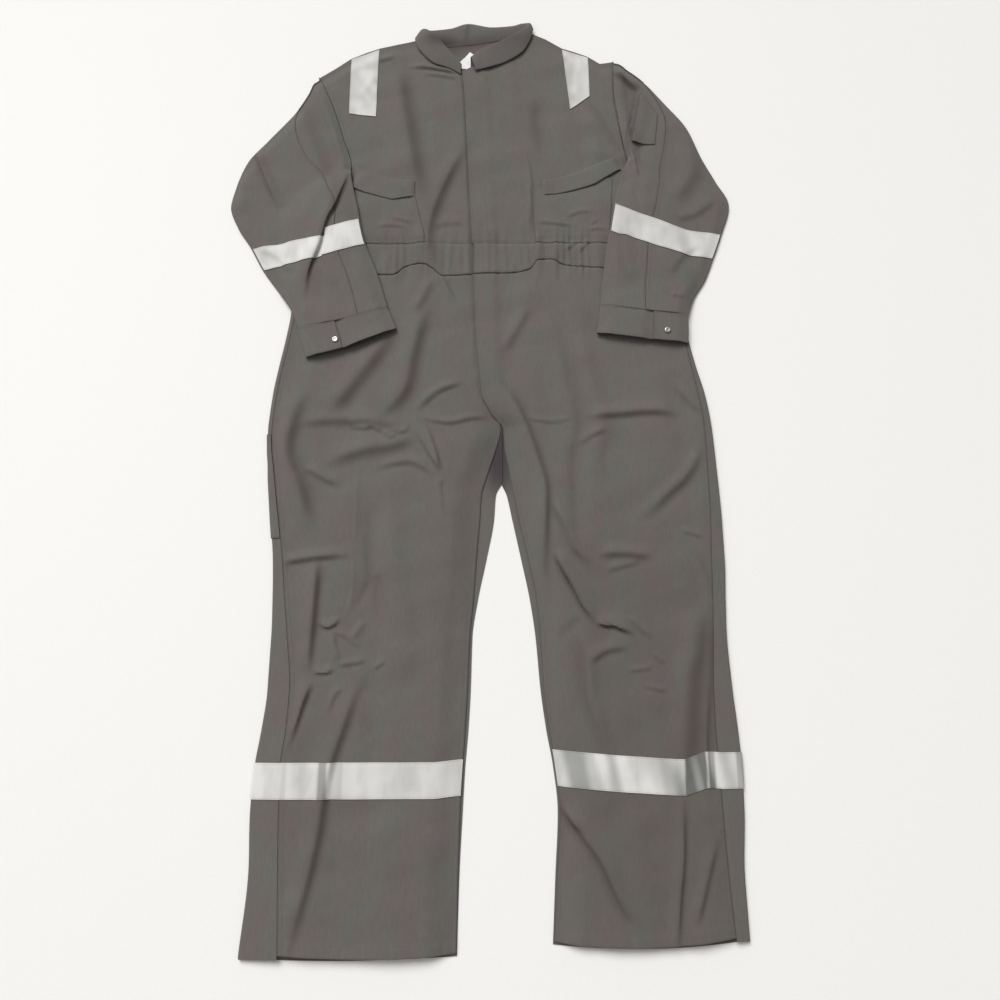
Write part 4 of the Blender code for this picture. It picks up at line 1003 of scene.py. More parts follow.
@dataclass(frozen=True)
class Sheet:
    """A sheet of cloth or film, made to its own outer face.

    Its inner face is straight below the outer one, or follows it round where it is wrapped.
    """

    node: str
    below: tuple[str, ...] = ()
    thickness: float = CLOTH
    finish: Finish = Finish.CLOTH
    seams: Seams = EVEN_SEAMS
    wrapped: bool = False
    drape: Drape | None = None

    def make(self, outer: Array, marks: Marks | None = None, inner: Array | None = None) -> Array:
        """Makes the sheet in place of its node.

        Args:
            outer: its outer face.
            marks: further numbers for each outer point.
            inner: its inner face, if it isn't the outer one moved in by the thickness.

        Returns:
            The outer face.
        """
        if inner is None:
            way = normals(outer) if self.wrapped else np.array((0, 0, 1))
            inner = outer - way * self.thickness
        marks = dict(marks or {})
        if self.drape:
            # Painted shade beside the drape's folds, on top of the places in SHADES.
            marks["shade"] = np.clip(shade_at(outer) + self.drape.shade(outer), 0, DARKEST_CLOTH)
        obj = declare(shell(self.node, outer, inner, self.finish, marks, self.seams), self.finish, self.node)
        flat, area = cut_size(outer)
        below = [piece_name(node) for node in self.below]
        return outer


@dataclass
class Pile:
    """The height of everything laid so far, on square cells over the table."""

    cell: float = 3 * MM
    low: Point = (-0.48, -0.84)
    size: tuple[int, int] = (560, 320)
    heights: Array = field(init=False)

    def __post_init__(self) -> None:
        """Starts with the bare table."""
        self.heights = np.zeros(self.size)

    def add(self, *grids: Array) -> None:
        """Lays grids of points, made twice as fine, on the pile.

        Args:
            grids: the grids.
        """
        for fine in grids:
            for axis in (0, 1):
                fine = np.moveaxis(fine, axis, 0)
                joined = np.empty((2 * len(fine) - 1, *fine.shape[1:]))
                joined[::2], joined[1::2] = fine, (fine[:-1] + fine[1:]) / 2
                fine = np.moveaxis(joined, 0, axis)
            flat = fine.reshape(-1, 3)
            col = np.clip(np.round((flat[:, 0] - self.low[0]) / self.cell), 0, self.size[1] - 1)
            row = np.clip(np.round((flat[:, 1] - self.low[1]) / self.cell), 0, self.size[0] - 1)
            np.maximum.at(self.heights, (row.astype(int), col.astype(int)), flat[:, 2])

    def over(self, x: Array, y: Array, reach: int = 4) -> Array:
        """A soft surface that stays above the pile: the highest cell within reach, averaged over
        the same reach, then read between the cells.

        Args:
            x, y: plan positions, of one shape.
            reach: a number of cells.

        Returns:
            Heights of that shape.
        """
        top = self.heights
        for axis in (0, 1):
            top = np.max([np.roll(top, k, axis) for k in range(-reach, reach + 1)], axis=0)
        for axis in (0, 1):
            top = np.mean([np.roll(top, k, axis) for k in range(1 - reach, reach)], axis=0)
        u = np.clip((x - self.low[0]) / self.cell, 0, self.size[1] - 1.001)
        v = np.clip((y - self.low[1]) / self.cell, 0, self.size[0] - 1.001)
        i, j = u.astype(int), v.astype(int)
        low = mix(top[j, i], top[j, i + 1], u - i)
        return mix(low, mix(top[j + 1, i], top[j + 1, i + 1], u - i), v - j)


# ---- the faces' shared lines and reliefs ----


def side_x(side: Side, y: Array) -> Array:
    """A bodice panel's outer edge."""
    return BODICE_SIDE[side].smooth("y", "x", y)


def fly_x(y: Array) -> Array:
    """The left front's edge."""
    return FLY.smooth("y", "x", y)


def waist_seam_y(x: Array) -> Array:
    """The seam between the legs and the elastic casing."""
    return WAIST_SEAM.smooth("x", "y", x)


def air_at(y: Array) -> Array:
    """The air under the front."""
    return LOFT.smooth("y", "air", y)


def gather(x: Array, y: Array) -> Array:
    """Upright folds that the elastic draws in: waves of (1 - cos) / 2 in each bunch, with small
    ones between, strongest in the casing and fading above and below it.

    Args:
        x: plan positions.
        y: plan positions, which broadcast with them.

    Returns:
        Heights.
    """
    total = np.zeros(np.broadcast(x, y).shape)
    for x0, x1, count, height in GATHERS:
        share = (x / MM - x0) / (x1 - x0)
        wave = (1 - np.cos(2 * math.pi * count * share)) / 2
        total += np.where((share > 0) & (share < 1), height * MM * wave, 0)
    total += sum(rumple.height(x, y) for rumple in ELASTIC)
    return total * ease((y - 0.243) / 0.036) * ease((0.372 - y) / 0.044)


def overlap(side: Side, x: Array, y: Array) -> Array:
    """How far the left front rises over the right one, from the fork to the neck.

    Args:
        side: the front's side.
        x: plan positions.
        y: plan positions, which broadcast with them.

    Returns:
        Heights, which are 0 on the right front.
    """
    if side is Side.RIGHT:
        return np.zeros(np.broadcast(x, y).shape)
    right_leg = LEG[Side.RIGHT].smooth("y", "front_inner", y)
    under = np.where(y > WAIST_BACK, fly_x(y) + FLY_UNDERLAP, right_leg)
    return OVERLAP_RISE * (1 - ease((x - under - 4 * MM) / 0.02)) * ease((y + 0.012) / 0.025)


def shifted(x: Array, y: Array, z: Array, shift: Array) -> Array:
    """A face's points, moved in plan."""
    return grid_of(x + shift[..., 0], y + shift[..., 1], z)


def welt(distance: Array, width: float, rise: float) -> Array:
    """A sewn band beside an edge: it rises within its width, and sinks at its two rows of
    stitches.

    Args:
        distance: from the edge, in metres.
        width: the band's, in millimetres.
        rise: how high it stands, in millimetres.

    Returns:
        Heights, in metres.
    """
    d = distance / MM
    band = rise * MM * ease((width + 0.8 - d) / 1.6)
    return band - 0.3 * MM * (bell(d - 1.6, 0.8) + bell(d - width + 1.4, 0.8))


def pucker(along: Array, seed: int) -> Array:
    """Small waves along a seam, between -1 and 1."""
    return Rumple(seed, (6.5, 500)).wave(along, 0 * along)


def welt_wave(x: Array, from_seam: Array, seed: int) -> Array:
    """Puckers that run a short way from a seam, between -1 and 1."""
    return pucker(x, seed) * ease((from_seam + 0.004) / 0.004) * ease((0.03 - from_seam) / 0.024)


def fly_relief(side: Side, x: Array, y: Array) -> Array:
    """The left front's free edge, which stands up a little over the fly's stitched width, and the
    groove that the right front has beside it.

    Args:
        side: the front's side.
        x: plan positions.
        y: plan positions, of the same shape.

    Returns:
        Heights of that shape.
    """
    from_edge = (x - fly_x(y)) / MM
    above_fork = MM * ease((y - 0.012) / 0.02)
    if side is Side.LEFT:
        return above_fork * (0.7 * bell(from_edge, 4) + 0.2 * ease((32 - from_edge) / 2))
    return -1.6 * above_fork * bell(from_edge - 0.8, 2.0)


# ---- legs and waist ----


@dataclass
class Leg:
    """A trouser leg: the front, the back with its rolled outer edge, and the silver band."""

    side: Side
    pile: Pile
    step: float = 3.0 * MM
    back_step: float = 6.5 * MM
    back_length: float = 1.07
    band_step: float = 2.6 * MM
    pocket_step: float = 3.0 * MM

    @property
    def is_right(self) -> bool:
        """Whether the columns run from the outer edge to the inner one."""
        return self.side is Side.RIGHT

    def edge(self, name: str, y: Array) -> Array:
        """One of the leg's outlines at heights on the suit."""
        return LEG[self.side].smooth("y", name, y)

    def rises(self, y: Array, strip: Array | float = 0.0) -> tuple[Array, Array]:
        """Heights of the leg's outer edge.

        Args:
            y: heights on the suit.
            strip: the width there of the back's strip beside the fold.

        Returns:
            The height of the outer fold, and of the outseam, which rises with the strip.
        """
        fold = 2 * TURN - 3 * MM * ease((y - 0.12) / 0.15)
        return fold, fold + np.minimum(0.12 * strip, 4 * MM)

    def front_face(self, x: Array, y: Array) -> Array:
        """Points of the front's upper face over plan positions.

        The face lies on its air between the inner edge and the outseam, where it meets the
        back's strip, with the folds added away from both.

        Args:
            x, y: plan positions, of one shape.

        Returns:
            The points.
        """
        inner, seam, outer = (self.edge(n, y) for n in ("front_inner", "outseam", "outer"))
        base = WALL + GAP
        parted = ease((0.03 - y) / 0.05)
        from_inner, from_seam = np.abs(x - inner), np.abs(x - seam)
        loft = air_at(y) * mix(1, ease(from_inner / 0.045), parted)
        height, shift = FRONT.read(x, y)
        keep = ease(from_inner / 0.022 + (1 - parted)) * ease(from_seam / 0.02)
        edge = self.rises(y, np.abs(outer - seam))[1] - WALL
        lie = mix(edge, base + loft, ease(from_seam / 0.05)) + (height + gather(x, y)) * keep
        z = np.maximum(lie, base) + WALL + overlap(self.side, x, y)
        return shifted(x, y, z, shift * keep[..., None])

    def front(self) -> Array:
        """The front's upper face, hem to waist by left to right.

        Returns:
            The points.
        """
        knee = np.array(-0.3)
        width = abs(self.edge("outseam", knee) - self.edge("front_inner", knee))
        share = np.linspace(0, 1, steps(float(width) * 1.08, self.step) + 1)[None, :]
        if self.is_right:
            share = share[:, ::-1]
        hem = through(HEM_FRONT[self.side], share) * MM
        ends = [self.edge(n, np.array(WAIST_BACK)) for n in ("front_inner", "outseam")]
        top = waist_seam_y(mix(*ends, share)) + TUCK
        t = np.linspace(0, 1, steps(float(top.mean() - hem.mean()), self.step) + 1)[:, None]
        y = mix(hem, top, t)
        inner, seam = self.edge("front_inner", y), self.edge("outseam", y)
        x = mix(inner, seam - self.side.value * SEAM, share)
        points = self.front_face(x, y)
        from_hem, from_waist = y - hem, top - y
        seam_wave = 1 + 0.5 * pucker(y, 41 + self.side.value)
        relief = welt(np.abs(x - seam), 8, 0.45) * seam_wave * ease(from_hem / 0.02)
        relief += welt(from_hem, 17, 0.6) * (1 + 0.35 * pucker(x, 43))
        relief += fly_relief(self.side, x, y)
        relief += 0.35 * MM * welt_wave(x, from_waist - TUCK, 45)
        points[..., 2] += relief - 1.3 * MM * ease((2.2 * TUCK - from_waist) / (1.6 * TUCK))
        return points

    def back(self, rows: Array | None = None) -> tuple[Array, Array]:
        """The back's outer face: flat on the table, round its outer edge and up to the outseam.

        Args:
            rows: heights on the suit to cut it at, or None for the whole leg.

        Returns:
            The points, and for each column whether it shows from above.
        """
        flat = np.linspace(0, 1, 29)[:-1]
        angle = np.radians(np.linspace(-90, 90, 11))
        strip = np.linspace(0, 1, 9)[1:]
        share = np.concatenate([flat, np.ones(angle.size + strip.size)])[None, :]
        if rows is None:
            low = through(HEM_BACK[self.side], share) * MM
            t = np.linspace(0, 1, steps(self.back_length, self.back_step) + 1)[:, None]
            y = mix(low, WAIST_BACK - SEAM, t)
        else:
            y = np.repeat(rows[:, None], share.size, axis=1)
        side = self.side.value
        inner = self.edge("back_inner", y) + side * SEAM / 2
        outer, seam = self.edge("outer", y), self.edge("outseam", y) + side * SEAM
        centre = outer - side * TURN
        fold, top = self.rises(y, np.abs(outer - seam))
        a = np.concatenate([np.full(flat.size, angle[0]), angle, np.full(strip.size, angle[-1])])
        s = np.concatenate([np.zeros(flat.size + angle.size), strip])[None, :]
        turned = centre + side * TURN * np.cos(a)[None, :]
        x = np.where(share < 1, mix(inner, centre, share), mix(turned, seam, s))
        z = mix(fold / 2 * (1 + np.sin(a)[None, :]), top, s)
        if self.is_right:
            at_fork = ease((y + 0.13) / 0.03) * ease((0.04 - y) / 0.03)
            z = z + 1.4 * MM * at_fork * ease(1 - (inner - x) / 0.016) * (s <= 0)
            z = z + bell(s - 0.55, 0.3) * (s > 0) * Rumple(51, (40, 28), 0.5).height(x, y)
        shown = np.concatenate([np.zeros(flat.size, bool), angle > -0.2, strip > 0])
        points = grid_of(x, y, z)
        return (points, shown) if self.is_right else (points[:, ::-1], shown[::-1])

    def whole_face(self, low: float, high: float) -> Array:
        """The leg's upper face with its rolled edge, tilted as the band is.

        Args:
            low: a height on the suit.
            high: a greater one.

        Returns:
            The points between them.
        """
        rows = np.linspace(low, high, steps(high - low, self.band_step) + 1)
        tilt = BAND_TILT[self.side]
        outer_tilt = tilt[0 if self.is_right else -1][1] * MM
        back, shown = self.back(rows + outer_tilt)
        share = np.linspace(0, 1, 124)[None, :]
        names = ("outseam", "front_inner") if self.is_right else ("front_inner", "outseam")
        x = mix(*(self.edge(name, rows)[:, None] for name in names), share)
        y = rows[:, None] + MM * between(tilt, x / MM)
        tuck = 0.5 * MM * np.array((1, 0) if self.is_right else (0, -1))
        ends = (self.edge(name, y) + inset for name, inset in zip(names, tuck))
        pieces = [self.front_face(mix(*ends, share), y), back[:, shown]]
        return np.concatenate(pieces[::-1] if self.is_right else pieces, axis=1)

    def band(self) -> tuple[Array, Array]:
        """The silver band's outer face, and how grey its film is painted at each point: streaks of
        dimmer reflection, and shade where folds turn it away from the light.

        Returns:
            The points, and a number for each.
        """
        low, high = (v * MM for v in LEG_TAPE[self.side])
        face = self.whole_face(low, high)
        edge = np.linspace(0, 1, len(face))[:, None]
        from_edge = np.minimum(edge, 1 - edge) * (high - low)
        face = face + normals(face) * (GAP + FILM + CLEAR)
        face[..., 2] += 0.25 * MM * ease((from_edge - 1.5 * MM) / (3 * MM))
        x, y = face[..., 0], face[..., 1]
        # Painted streaks of brighter and dimmer reflection along the film.
        if self.is_right:
            dull = 0.08 + 0.13 * Rumple(96, (22, 90)).wave(x, y)
        else:
            dull = 0.26 + 0.5 * Rumple(95, (15, 90), turn=0.2).wave(x, y)
        # Painted shade where the band's folds turn it away from the light.
        for start, stop, depth in BAND_SHADE[self.side]:
            dull += depth * ease((x / MM - start + 2) / 4) * ease((stop + 2 - x / MM) / 4)
        return face, np.clip(dull, 0, 1)

    def build(self) -> dict[str, Array]:
        """Makes the leg's pieces and lays them on the pile.

        Returns:
            The outer faces that are stitched, by node.
        """
        back_leg, front_leg, tape = (f"{n}_{self.side.mark}" for n in ("back_leg", "front_leg", "leg_tape"))
        back, _ = self.back()
        x, y = back[..., 0] / MM, back[..., 1] / MM
        # Painted shade in the hollow of the fork between the legs, through the seam and shade marks.
        fork = np.exp(-(((x - 34) / 18) ** 2) - ((y + 55) / 62) ** 4)
        Sheet(back_leg, wrapped=True).make(back, {"seam": 1.15 * fork, "shade": 0.85 * fork})
        seams = (0.4, 1.0, 0.45, 0.45)
        front = Sheet(front_leg, (back_leg,), seams=seams, drape=FRONT).make(self.front())
        band, dull = self.band()
        Sheet(tape, (front_leg, back_leg), FILM, Finish.SILVER, wrapped=True).make(band, {"dull": dull})
        self.pile.add(back, front, band)
        return {front_leg: front, tape: band}

    def rule_pocket(self) -> dict[str, Array]:
        """Makes the rule pocket that wraps the leg's outer edge.

        Returns:
            The outer face, by node.
        """
        low, high = (v * MM for v in RULE_POCKET)
        rows = np.linspace(low, high, steps(high - low, self.pocket_step) + 1)
        back, shown = self.back(rows)
        face = back[:, shown]
        face = face + normals(face) * (GAP + CLOTH + CLEAR)
        t = np.linspace(0, 1, len(rows))[:, None]
        face[..., 2] += 0.4 * MM * ease((t - 0.93) / 0.03)
        return {"rule_pocket": Sheet("rule_pocket", ("back_leg_r",), wrapped=True).make(face)}


@dataclass
class Waist:
    """The elastic casing, front and back."""

    pile: Pile
    step: float = 2.8 * MM
    length: float = 55 * MM

    def front_face(self, side: Side, x: Array, y: Array) -> Array:
        """Points of the casing's upper face over plan positions.

        Args:
            side: the front's side.
            x, y: plan positions, of one shape.

        Returns:
            The points.
        """
        outer_edge = LEG[side].smooth("y", "outseam", np.array(WAIST_BACK)) - side.value * SEAM
        from_edge = np.abs(x - outer_edge)
        height, shift = FRONT.read(x, y)
        keep = ease(from_edge / 0.02)
        air = air_at(y) * ease(from_edge / 0.03) + (height + gather(x, y)) * keep
        z = 2 * WALL + GAP + np.maximum(air, 0) + overlap(side, x, y)
        return shifted(x, y, z, shift * keep[..., None])

    def front(self, side: Side) -> Array:
        """The upper face of one side's front casing, left to right.

        Args:
            side: the front's side.

        Returns:
            The points.
        """
        ends = [LEG[side].smooth("y", n, np.array(WAIST_BACK)) for n in ("front_inner", "outseam")]
        count = steps(float(abs(ends[1] - ends[0])), self.step)
        x = np.sort(np.linspace(ends[0], ends[1] - side.value * SEAM, count))[None, :]
        low, high = waist_seam_y(x), WAIST_TOP + TUCK
        y = mix(low, high, np.linspace(0, 1, steps(self.length, self.step) + 1)[:, None])
        x = np.repeat(x, len(y), axis=0)
        points = self.front_face(side, x, y)
        relief = welt(y - low, 6, 0.4) + 0.5 * MM * welt_wave(x, y - low, 47) + fly_relief(side, x, y)
        points[..., 2] += relief - 1.6 * MM * ease((2.2 * TUCK - (high - y)) / (1.6 * TUCK))
        return points

    def back(self) -> Array:
        """The back casing's inner face, flat but for what the elastic draws in.

        Returns:
            The points.
        """
        ends = [float(side_x(side, np.array(WAIST_TOP))) for side in Side]
        x = np.linspace(*ends, 100)[None, :]
        y = np.linspace(WAIST_BACK + SEAM, WAIST_TOP - SEAM, 9)[:, None]
        drawn = sum(rumple.height(x, y) for rumple in ELASTIC) * ease((y - 0.275) / 0.01)
        return grid_of(x, y, BACK_FACE + 0.5 * np.maximum(drawn, 0))

    def build(self) -> dict[str, Array]:
        """Makes the three casings and lays the front ones on the pile.

        Returns:
            The front casings' outer faces, by node.
        """
        Sheet("back_casing", thickness=1.0 * MM).make(self.back())
        made = {}
        for side in Side:
            name = f"front_casing_{side.mark}"
            seams = (1.0, 0.0, 0.9 if side is Side.LEFT else 0.0, 0.0)
            made[name] = Sheet(name, ("back_casing",), seams=seams, drape=FRONT).make(self.front(side))
            self.pile.add(made[name])
        return made


# ---- bodice and patches ----


@dataclass
class Bodice:
    """The upper body: two fronts and the back."""

    pile: Pile
    step: float = 2.8 * MM
    back_step: float = 8 * MM
    length: float = 420 * MM

    def outline(self, top: Table, left: Edge, right: Edge, low: float, size: float) -> tuple[Array, Array]:
        """Plan positions of a panel, where each column ends at one point of its top outline.

        Args:
            top: the top outline.
            left: the left edge's x at a height.
            right: the right edge's.
            low: the height of the bottom.
            size: the cells' size.

        Returns:
            x and y, of one shape.
        """
        line = np.stack([top.column("x"), top.column("y")], axis=1)
        run = float(np.linalg.norm(np.diff(line, axis=0), axis=1).sum())
        top_x, top_y = resample(line, steps(run, size) + 1).T
        share = (top_x - left(top_y)) / (right(top_y) - left(top_y))
        y = mix(low, top_y[None, :], np.linspace(0, 1, steps(self.length, size) + 1)[:, None])
        return mix(left(y), right(y), np.clip(share, 0, 1)[None, :]), y

    def front_face(self, side: Side, x: Array, y: Array) -> Array:
        """Points of a front's upper face over plan positions: it lies on its air, flatter toward
        the arm below the armhole and toward the shoulder.

        Args:
            side: the front's side.
            x, y: plan positions, of one shape.

        Returns:
            The points.
        """
        line_x, line_y = (TOP_FRONT[side].column(n)[SHOULDER[side]] for n in "xy")
        under_arm = ease((UNDER_ARM[side] + 0.01 - y) / 0.03)
        from_side = np.abs(x - side_x(side, y))
        below_top = np.interp(x, line_x, line_y) - y
        in_shoulder = (x <= line_x[-1] + 1e-6) & (x >= line_x[0] - 1e-6)
        top_roll = np.maximum(np.where(in_shoulder, ease(below_top / 0.035), 1), 0.25)
        roll = mix(1, ease(from_side / 0.04), under_arm) * top_roll
        keep = mix(1, ease(from_side / 0.02), under_arm) * top_roll
        height, shift = FRONT.read(x, y)
        air = air_at(y) * roll + (height + gather(x, y)) * keep
        z = 2 * WALL + GAP + np.maximum(air, 0) + overlap(side, x, y)
        return shifted(x, y, z, shift * keep[..., None])

    def front(self, side: Side) -> Array:
        """A front's upper face, waist to shoulder by left to right.

        Args:
            side: the front's side.

        Returns:
            The points.
        """
        low = WAIST_TOP - 0.5 * MM
        edges = (fly_x, lambda v: side_x(side, v))
        if side is Side.RIGHT:
            edges = (edges[1], lambda v: fly_x(v) + FLY_UNDERLAP)
        x, y = self.outline(TOP_FRONT[side], *edges, low, self.step)
        points = self.front_face(side, x, y)
        relief = 0.3 * MM * welt_wave(x, y - low, 49) - 0.9 * MM * ease((5 * MM - y + low) / (4 * MM))
        relief += fly_relief(side, x, y)
        relief += welt(np.abs(x - side_x(side, y)), 8, 0.4) * ease((y - UNDER_ARM[side]) / 0.02)
        points[..., 2] += relief
        return points

    def back(self) -> Array:
        """The back's inner face, which shows in the neck.

        Returns:
            The points.
        """
        left, right = (lambda v: side_x(Side.RIGHT, v)), (lambda v: side_x(Side.LEFT, v))
        x, y = self.outline(TOP_BACK, left, right, WAIST_TOP + SEAM, self.back_step)
        return grid_of(x, y, BACK_FACE)

    def build(self) -> dict[str, Array]:
        """Makes the back and the fronts and lays the fronts on the pile.

        Returns:
            The fronts' outer faces, by node.
        """
        Sheet("back_bodice", thickness=1.2 * MM).make(self.back())
        made = {}
        for side in Side:
            name = f"front_bodice_{side.mark}"
            seams = (0.0, 0.3, 0.9, 0.7) if side is Side.LEFT else (0.0, 0.3, 0.7, 0.3)
            made[name] = Sheet(name, ("back_bodice",), seams=seams, drape=FRONT).make(self.front(side))
            self.pile.add(made[name])
        return made


@dataclass
class Patches:
    """Everything sewn flat: pockets, flaps, shoulder bands and the neck label."""

    bodice: Bodice
    pile: Pile
    cloth: float = 0.8 * MM
    step: float = 2.6 * MM
    label_step: float = 1.5 * MM

    def plan(self, name: str, step: float) -> tuple[Array, Array]:
        """Plan positions of a patch.

        Args:
            name: its node.
            step: its cells' size.

        Returns:
            x and y, rows from its lower to its upper edge.
        """
        low, high = (resample(np.array(line, float) * MM, 60) for line in PATCH[name])
        count = steps(float(np.linalg.norm(low[-1] - low[0])), step) + 1
        low, high = (resample(line, count) for line in (low, high))
        t = np.linspace(0, 1, steps(float(np.linalg.norm(high - low, axis=1).max()), step) + 1)
        plan = mix(low[None], high[None], t[:, None, None])
        return plan[..., 0], plan[..., 1]

    def on_front(self, name: str, side: Side, rise: float, bulge: float, rim: float = 8) -> Array:
        """A patch's upper face: the front's own face, moved out, with a bulge away from its sewn
        edges and a welt round it.

        Args:
            name: its node.
            side: the front's side.
            rise: how far it is moved out.
            bulge: how far its middle stands out further.
            rim: the welt's width, in millimetres.

        Returns:
            The points.
        """
        x, y = self.plan(name, self.step)
        points = self.bodice.front_face(side, x, y)
        s, t = shares(x)
        across = np.linalg.norm(points[0, -1] - points[0, 0])
        along = np.linalg.norm(points[-1, 0] - points[0, 0])
        from_edge = np.minimum(np.minimum(s, 1 - s) * across, np.minimum(t, 1 - t) * along)
        sunk = ease(t / 0.12) if name.startswith("chest") else 1
        points[..., 2] += (rise + bulge * ease(from_edge / 0.03)) * sunk + welt(from_edge, rim, 0.3)
        return points

    def flap(self, name: str, side: Side) -> Array:
        """A pocket flap's upper face, sewn down along its top and free below.

        Args:
            name: its node.
            side: the front's side.

        Returns:
            The points.
        """
        x, y = self.plan(name, self.step)
        points = self.bodice.front_face(side, x, y)
        s, t = shares(x)
        from_end = np.minimum(s, 1 - s)
        from_edge = np.minimum(from_end * 0.11, t * 0.035)
        points[..., 2] += 1.5 * MM + (1.6 * MM + 0.7 * MM * ease((1 - t) / 0.6)) * ease(from_end / 0.06)
        points[..., 2] += welt(from_edge, 7, 0.3) - 2.6 * MM * ease((t - 0.86) / 0.14)
        points[..., 2] += Rumple(61, (28, 30), 0.9).height(x, y) * ease((1 - t) / 0.4)
        return points

    def build(self) -> dict[str, Array]:
        """Makes the patches on the fronts and, for the label, on the back.

        Returns:
            Their outer faces, by node.
        """
        made: dict[str, Array] = {}
        for side in Side:
            mark = side.mark
            front, pocket = f"front_bodice_{mark}", f"chest_pocket_{mark}"
            flap, tape = f"pocket_flap_{mark}", f"shoulder_tape_{mark}"
            for name, face, finish, below, seams in (
                (pocket, self.on_front(pocket, side, 1.3 * MM, 1.4 * MM), Finish.CLOTH, (front,),
                 (0.0, 0.3, 0.3, 0.3)),
                (flap, self.flap(flap, side), Finish.CLOTH, (front, pocket), (0.85, 0.1, 0.1, 0.1)),
                (tape, self.on_front(tape, side, 1.1 * MM, 0.2 * MM, 2.6), Finish.SILVER, (front,),
                 EVEN_SEAMS),
            ):
                # Painted streaks of dimmer reflection, which only the silver finish reads.
                dull = 0.2 + 0.16 * Rumple(98, (13, 17)).wave(face[..., 0], face[..., 1])
                sheet = Sheet(name, below, self.cloth, finish, seams, drape=FRONT)
                made[name] = sheet.make(face, {"dull": dull})
                self.pile.add(face)
        x, y = self.plan("neck_label", self.label_step)
        label = grid_of(x, y, 2.3 * MM + 0.5 * MM * np.sin((x + y) * 160))
        Sheet("neck_label", ("back_bodice",), 0.5 * MM, Finish.LABEL).make(label)
        return made

    def pen_pocket(self, *halves: Array) -> dict[str, Array]:
        """Makes the pen pocket on the left sleeve.

        Args:
            halves: the outer faces of the sleeve's halves, which it lies on.

        Returns:
            The pocket's upper face, by node.
        """
        ground = Pile()
        ground.add(*halves)
        x, y = self.plan("pen_pocket", self.step)
        s, t = shares(x)
        from_edge = np.minimum(np.minimum(s, 1 - s) * 0.045, np.minimum(t, 1 - t) * 0.08)
        z = ground.over(x, y, 2) + 1.1 * MM + 0.7 * MM * ease(from_edge / 0.012) + welt(from_edge, 5, 0.3)
        sheet = Sheet("pen_pocket", ("upper_sleeve_l", "under_sleeve_l"))
        return {"pen_pocket": sheet.make(grid_of(x, y, z))}


# ---- sleeves, cuffs, collar ----

CURVE = 1 - np.cos(np.linspace(0, math.pi / 2, 5))[None, :]  # shares of a fold's depth round it


def tube_plan(table: Table, at: Array, share: Array) -> tuple[Array, Array, Array]:
    """Plan positions across a flattened tube.

    Args:
        table: the tube's two edges, and how far it sags between them.
        at: row numbers of the table, which may lie between its rows.
        share: 0 at the inner edge, 1 at the outer.

    Returns:
        x, y, and the tube's width at each row.
    """
    names = ("outer_x", "outer_y", "inner_x", "inner_y", "sag")
    ox, oy, ix, iy, sag = (table.along(name, at)[:, None] for name in names)
    return mix(ix, ox, share), mix(iy, oy, share) - sag * bow(share), np.hypot(ox - ix, oy - iy)


def bend(from_edge: Array) -> Array:
    """How far a tube's wall stands above or below its fold's middle at a distance d from its edge:
    sqrt(turn^2 - (turn - d)^2), and the whole turn beyond it."""
    d = np.clip(from_edge, 0, SLEEVE_TURN)
    return np.sqrt(SLEEVE_TURN**2 - (SLEEVE_TURN - d) ** 2)


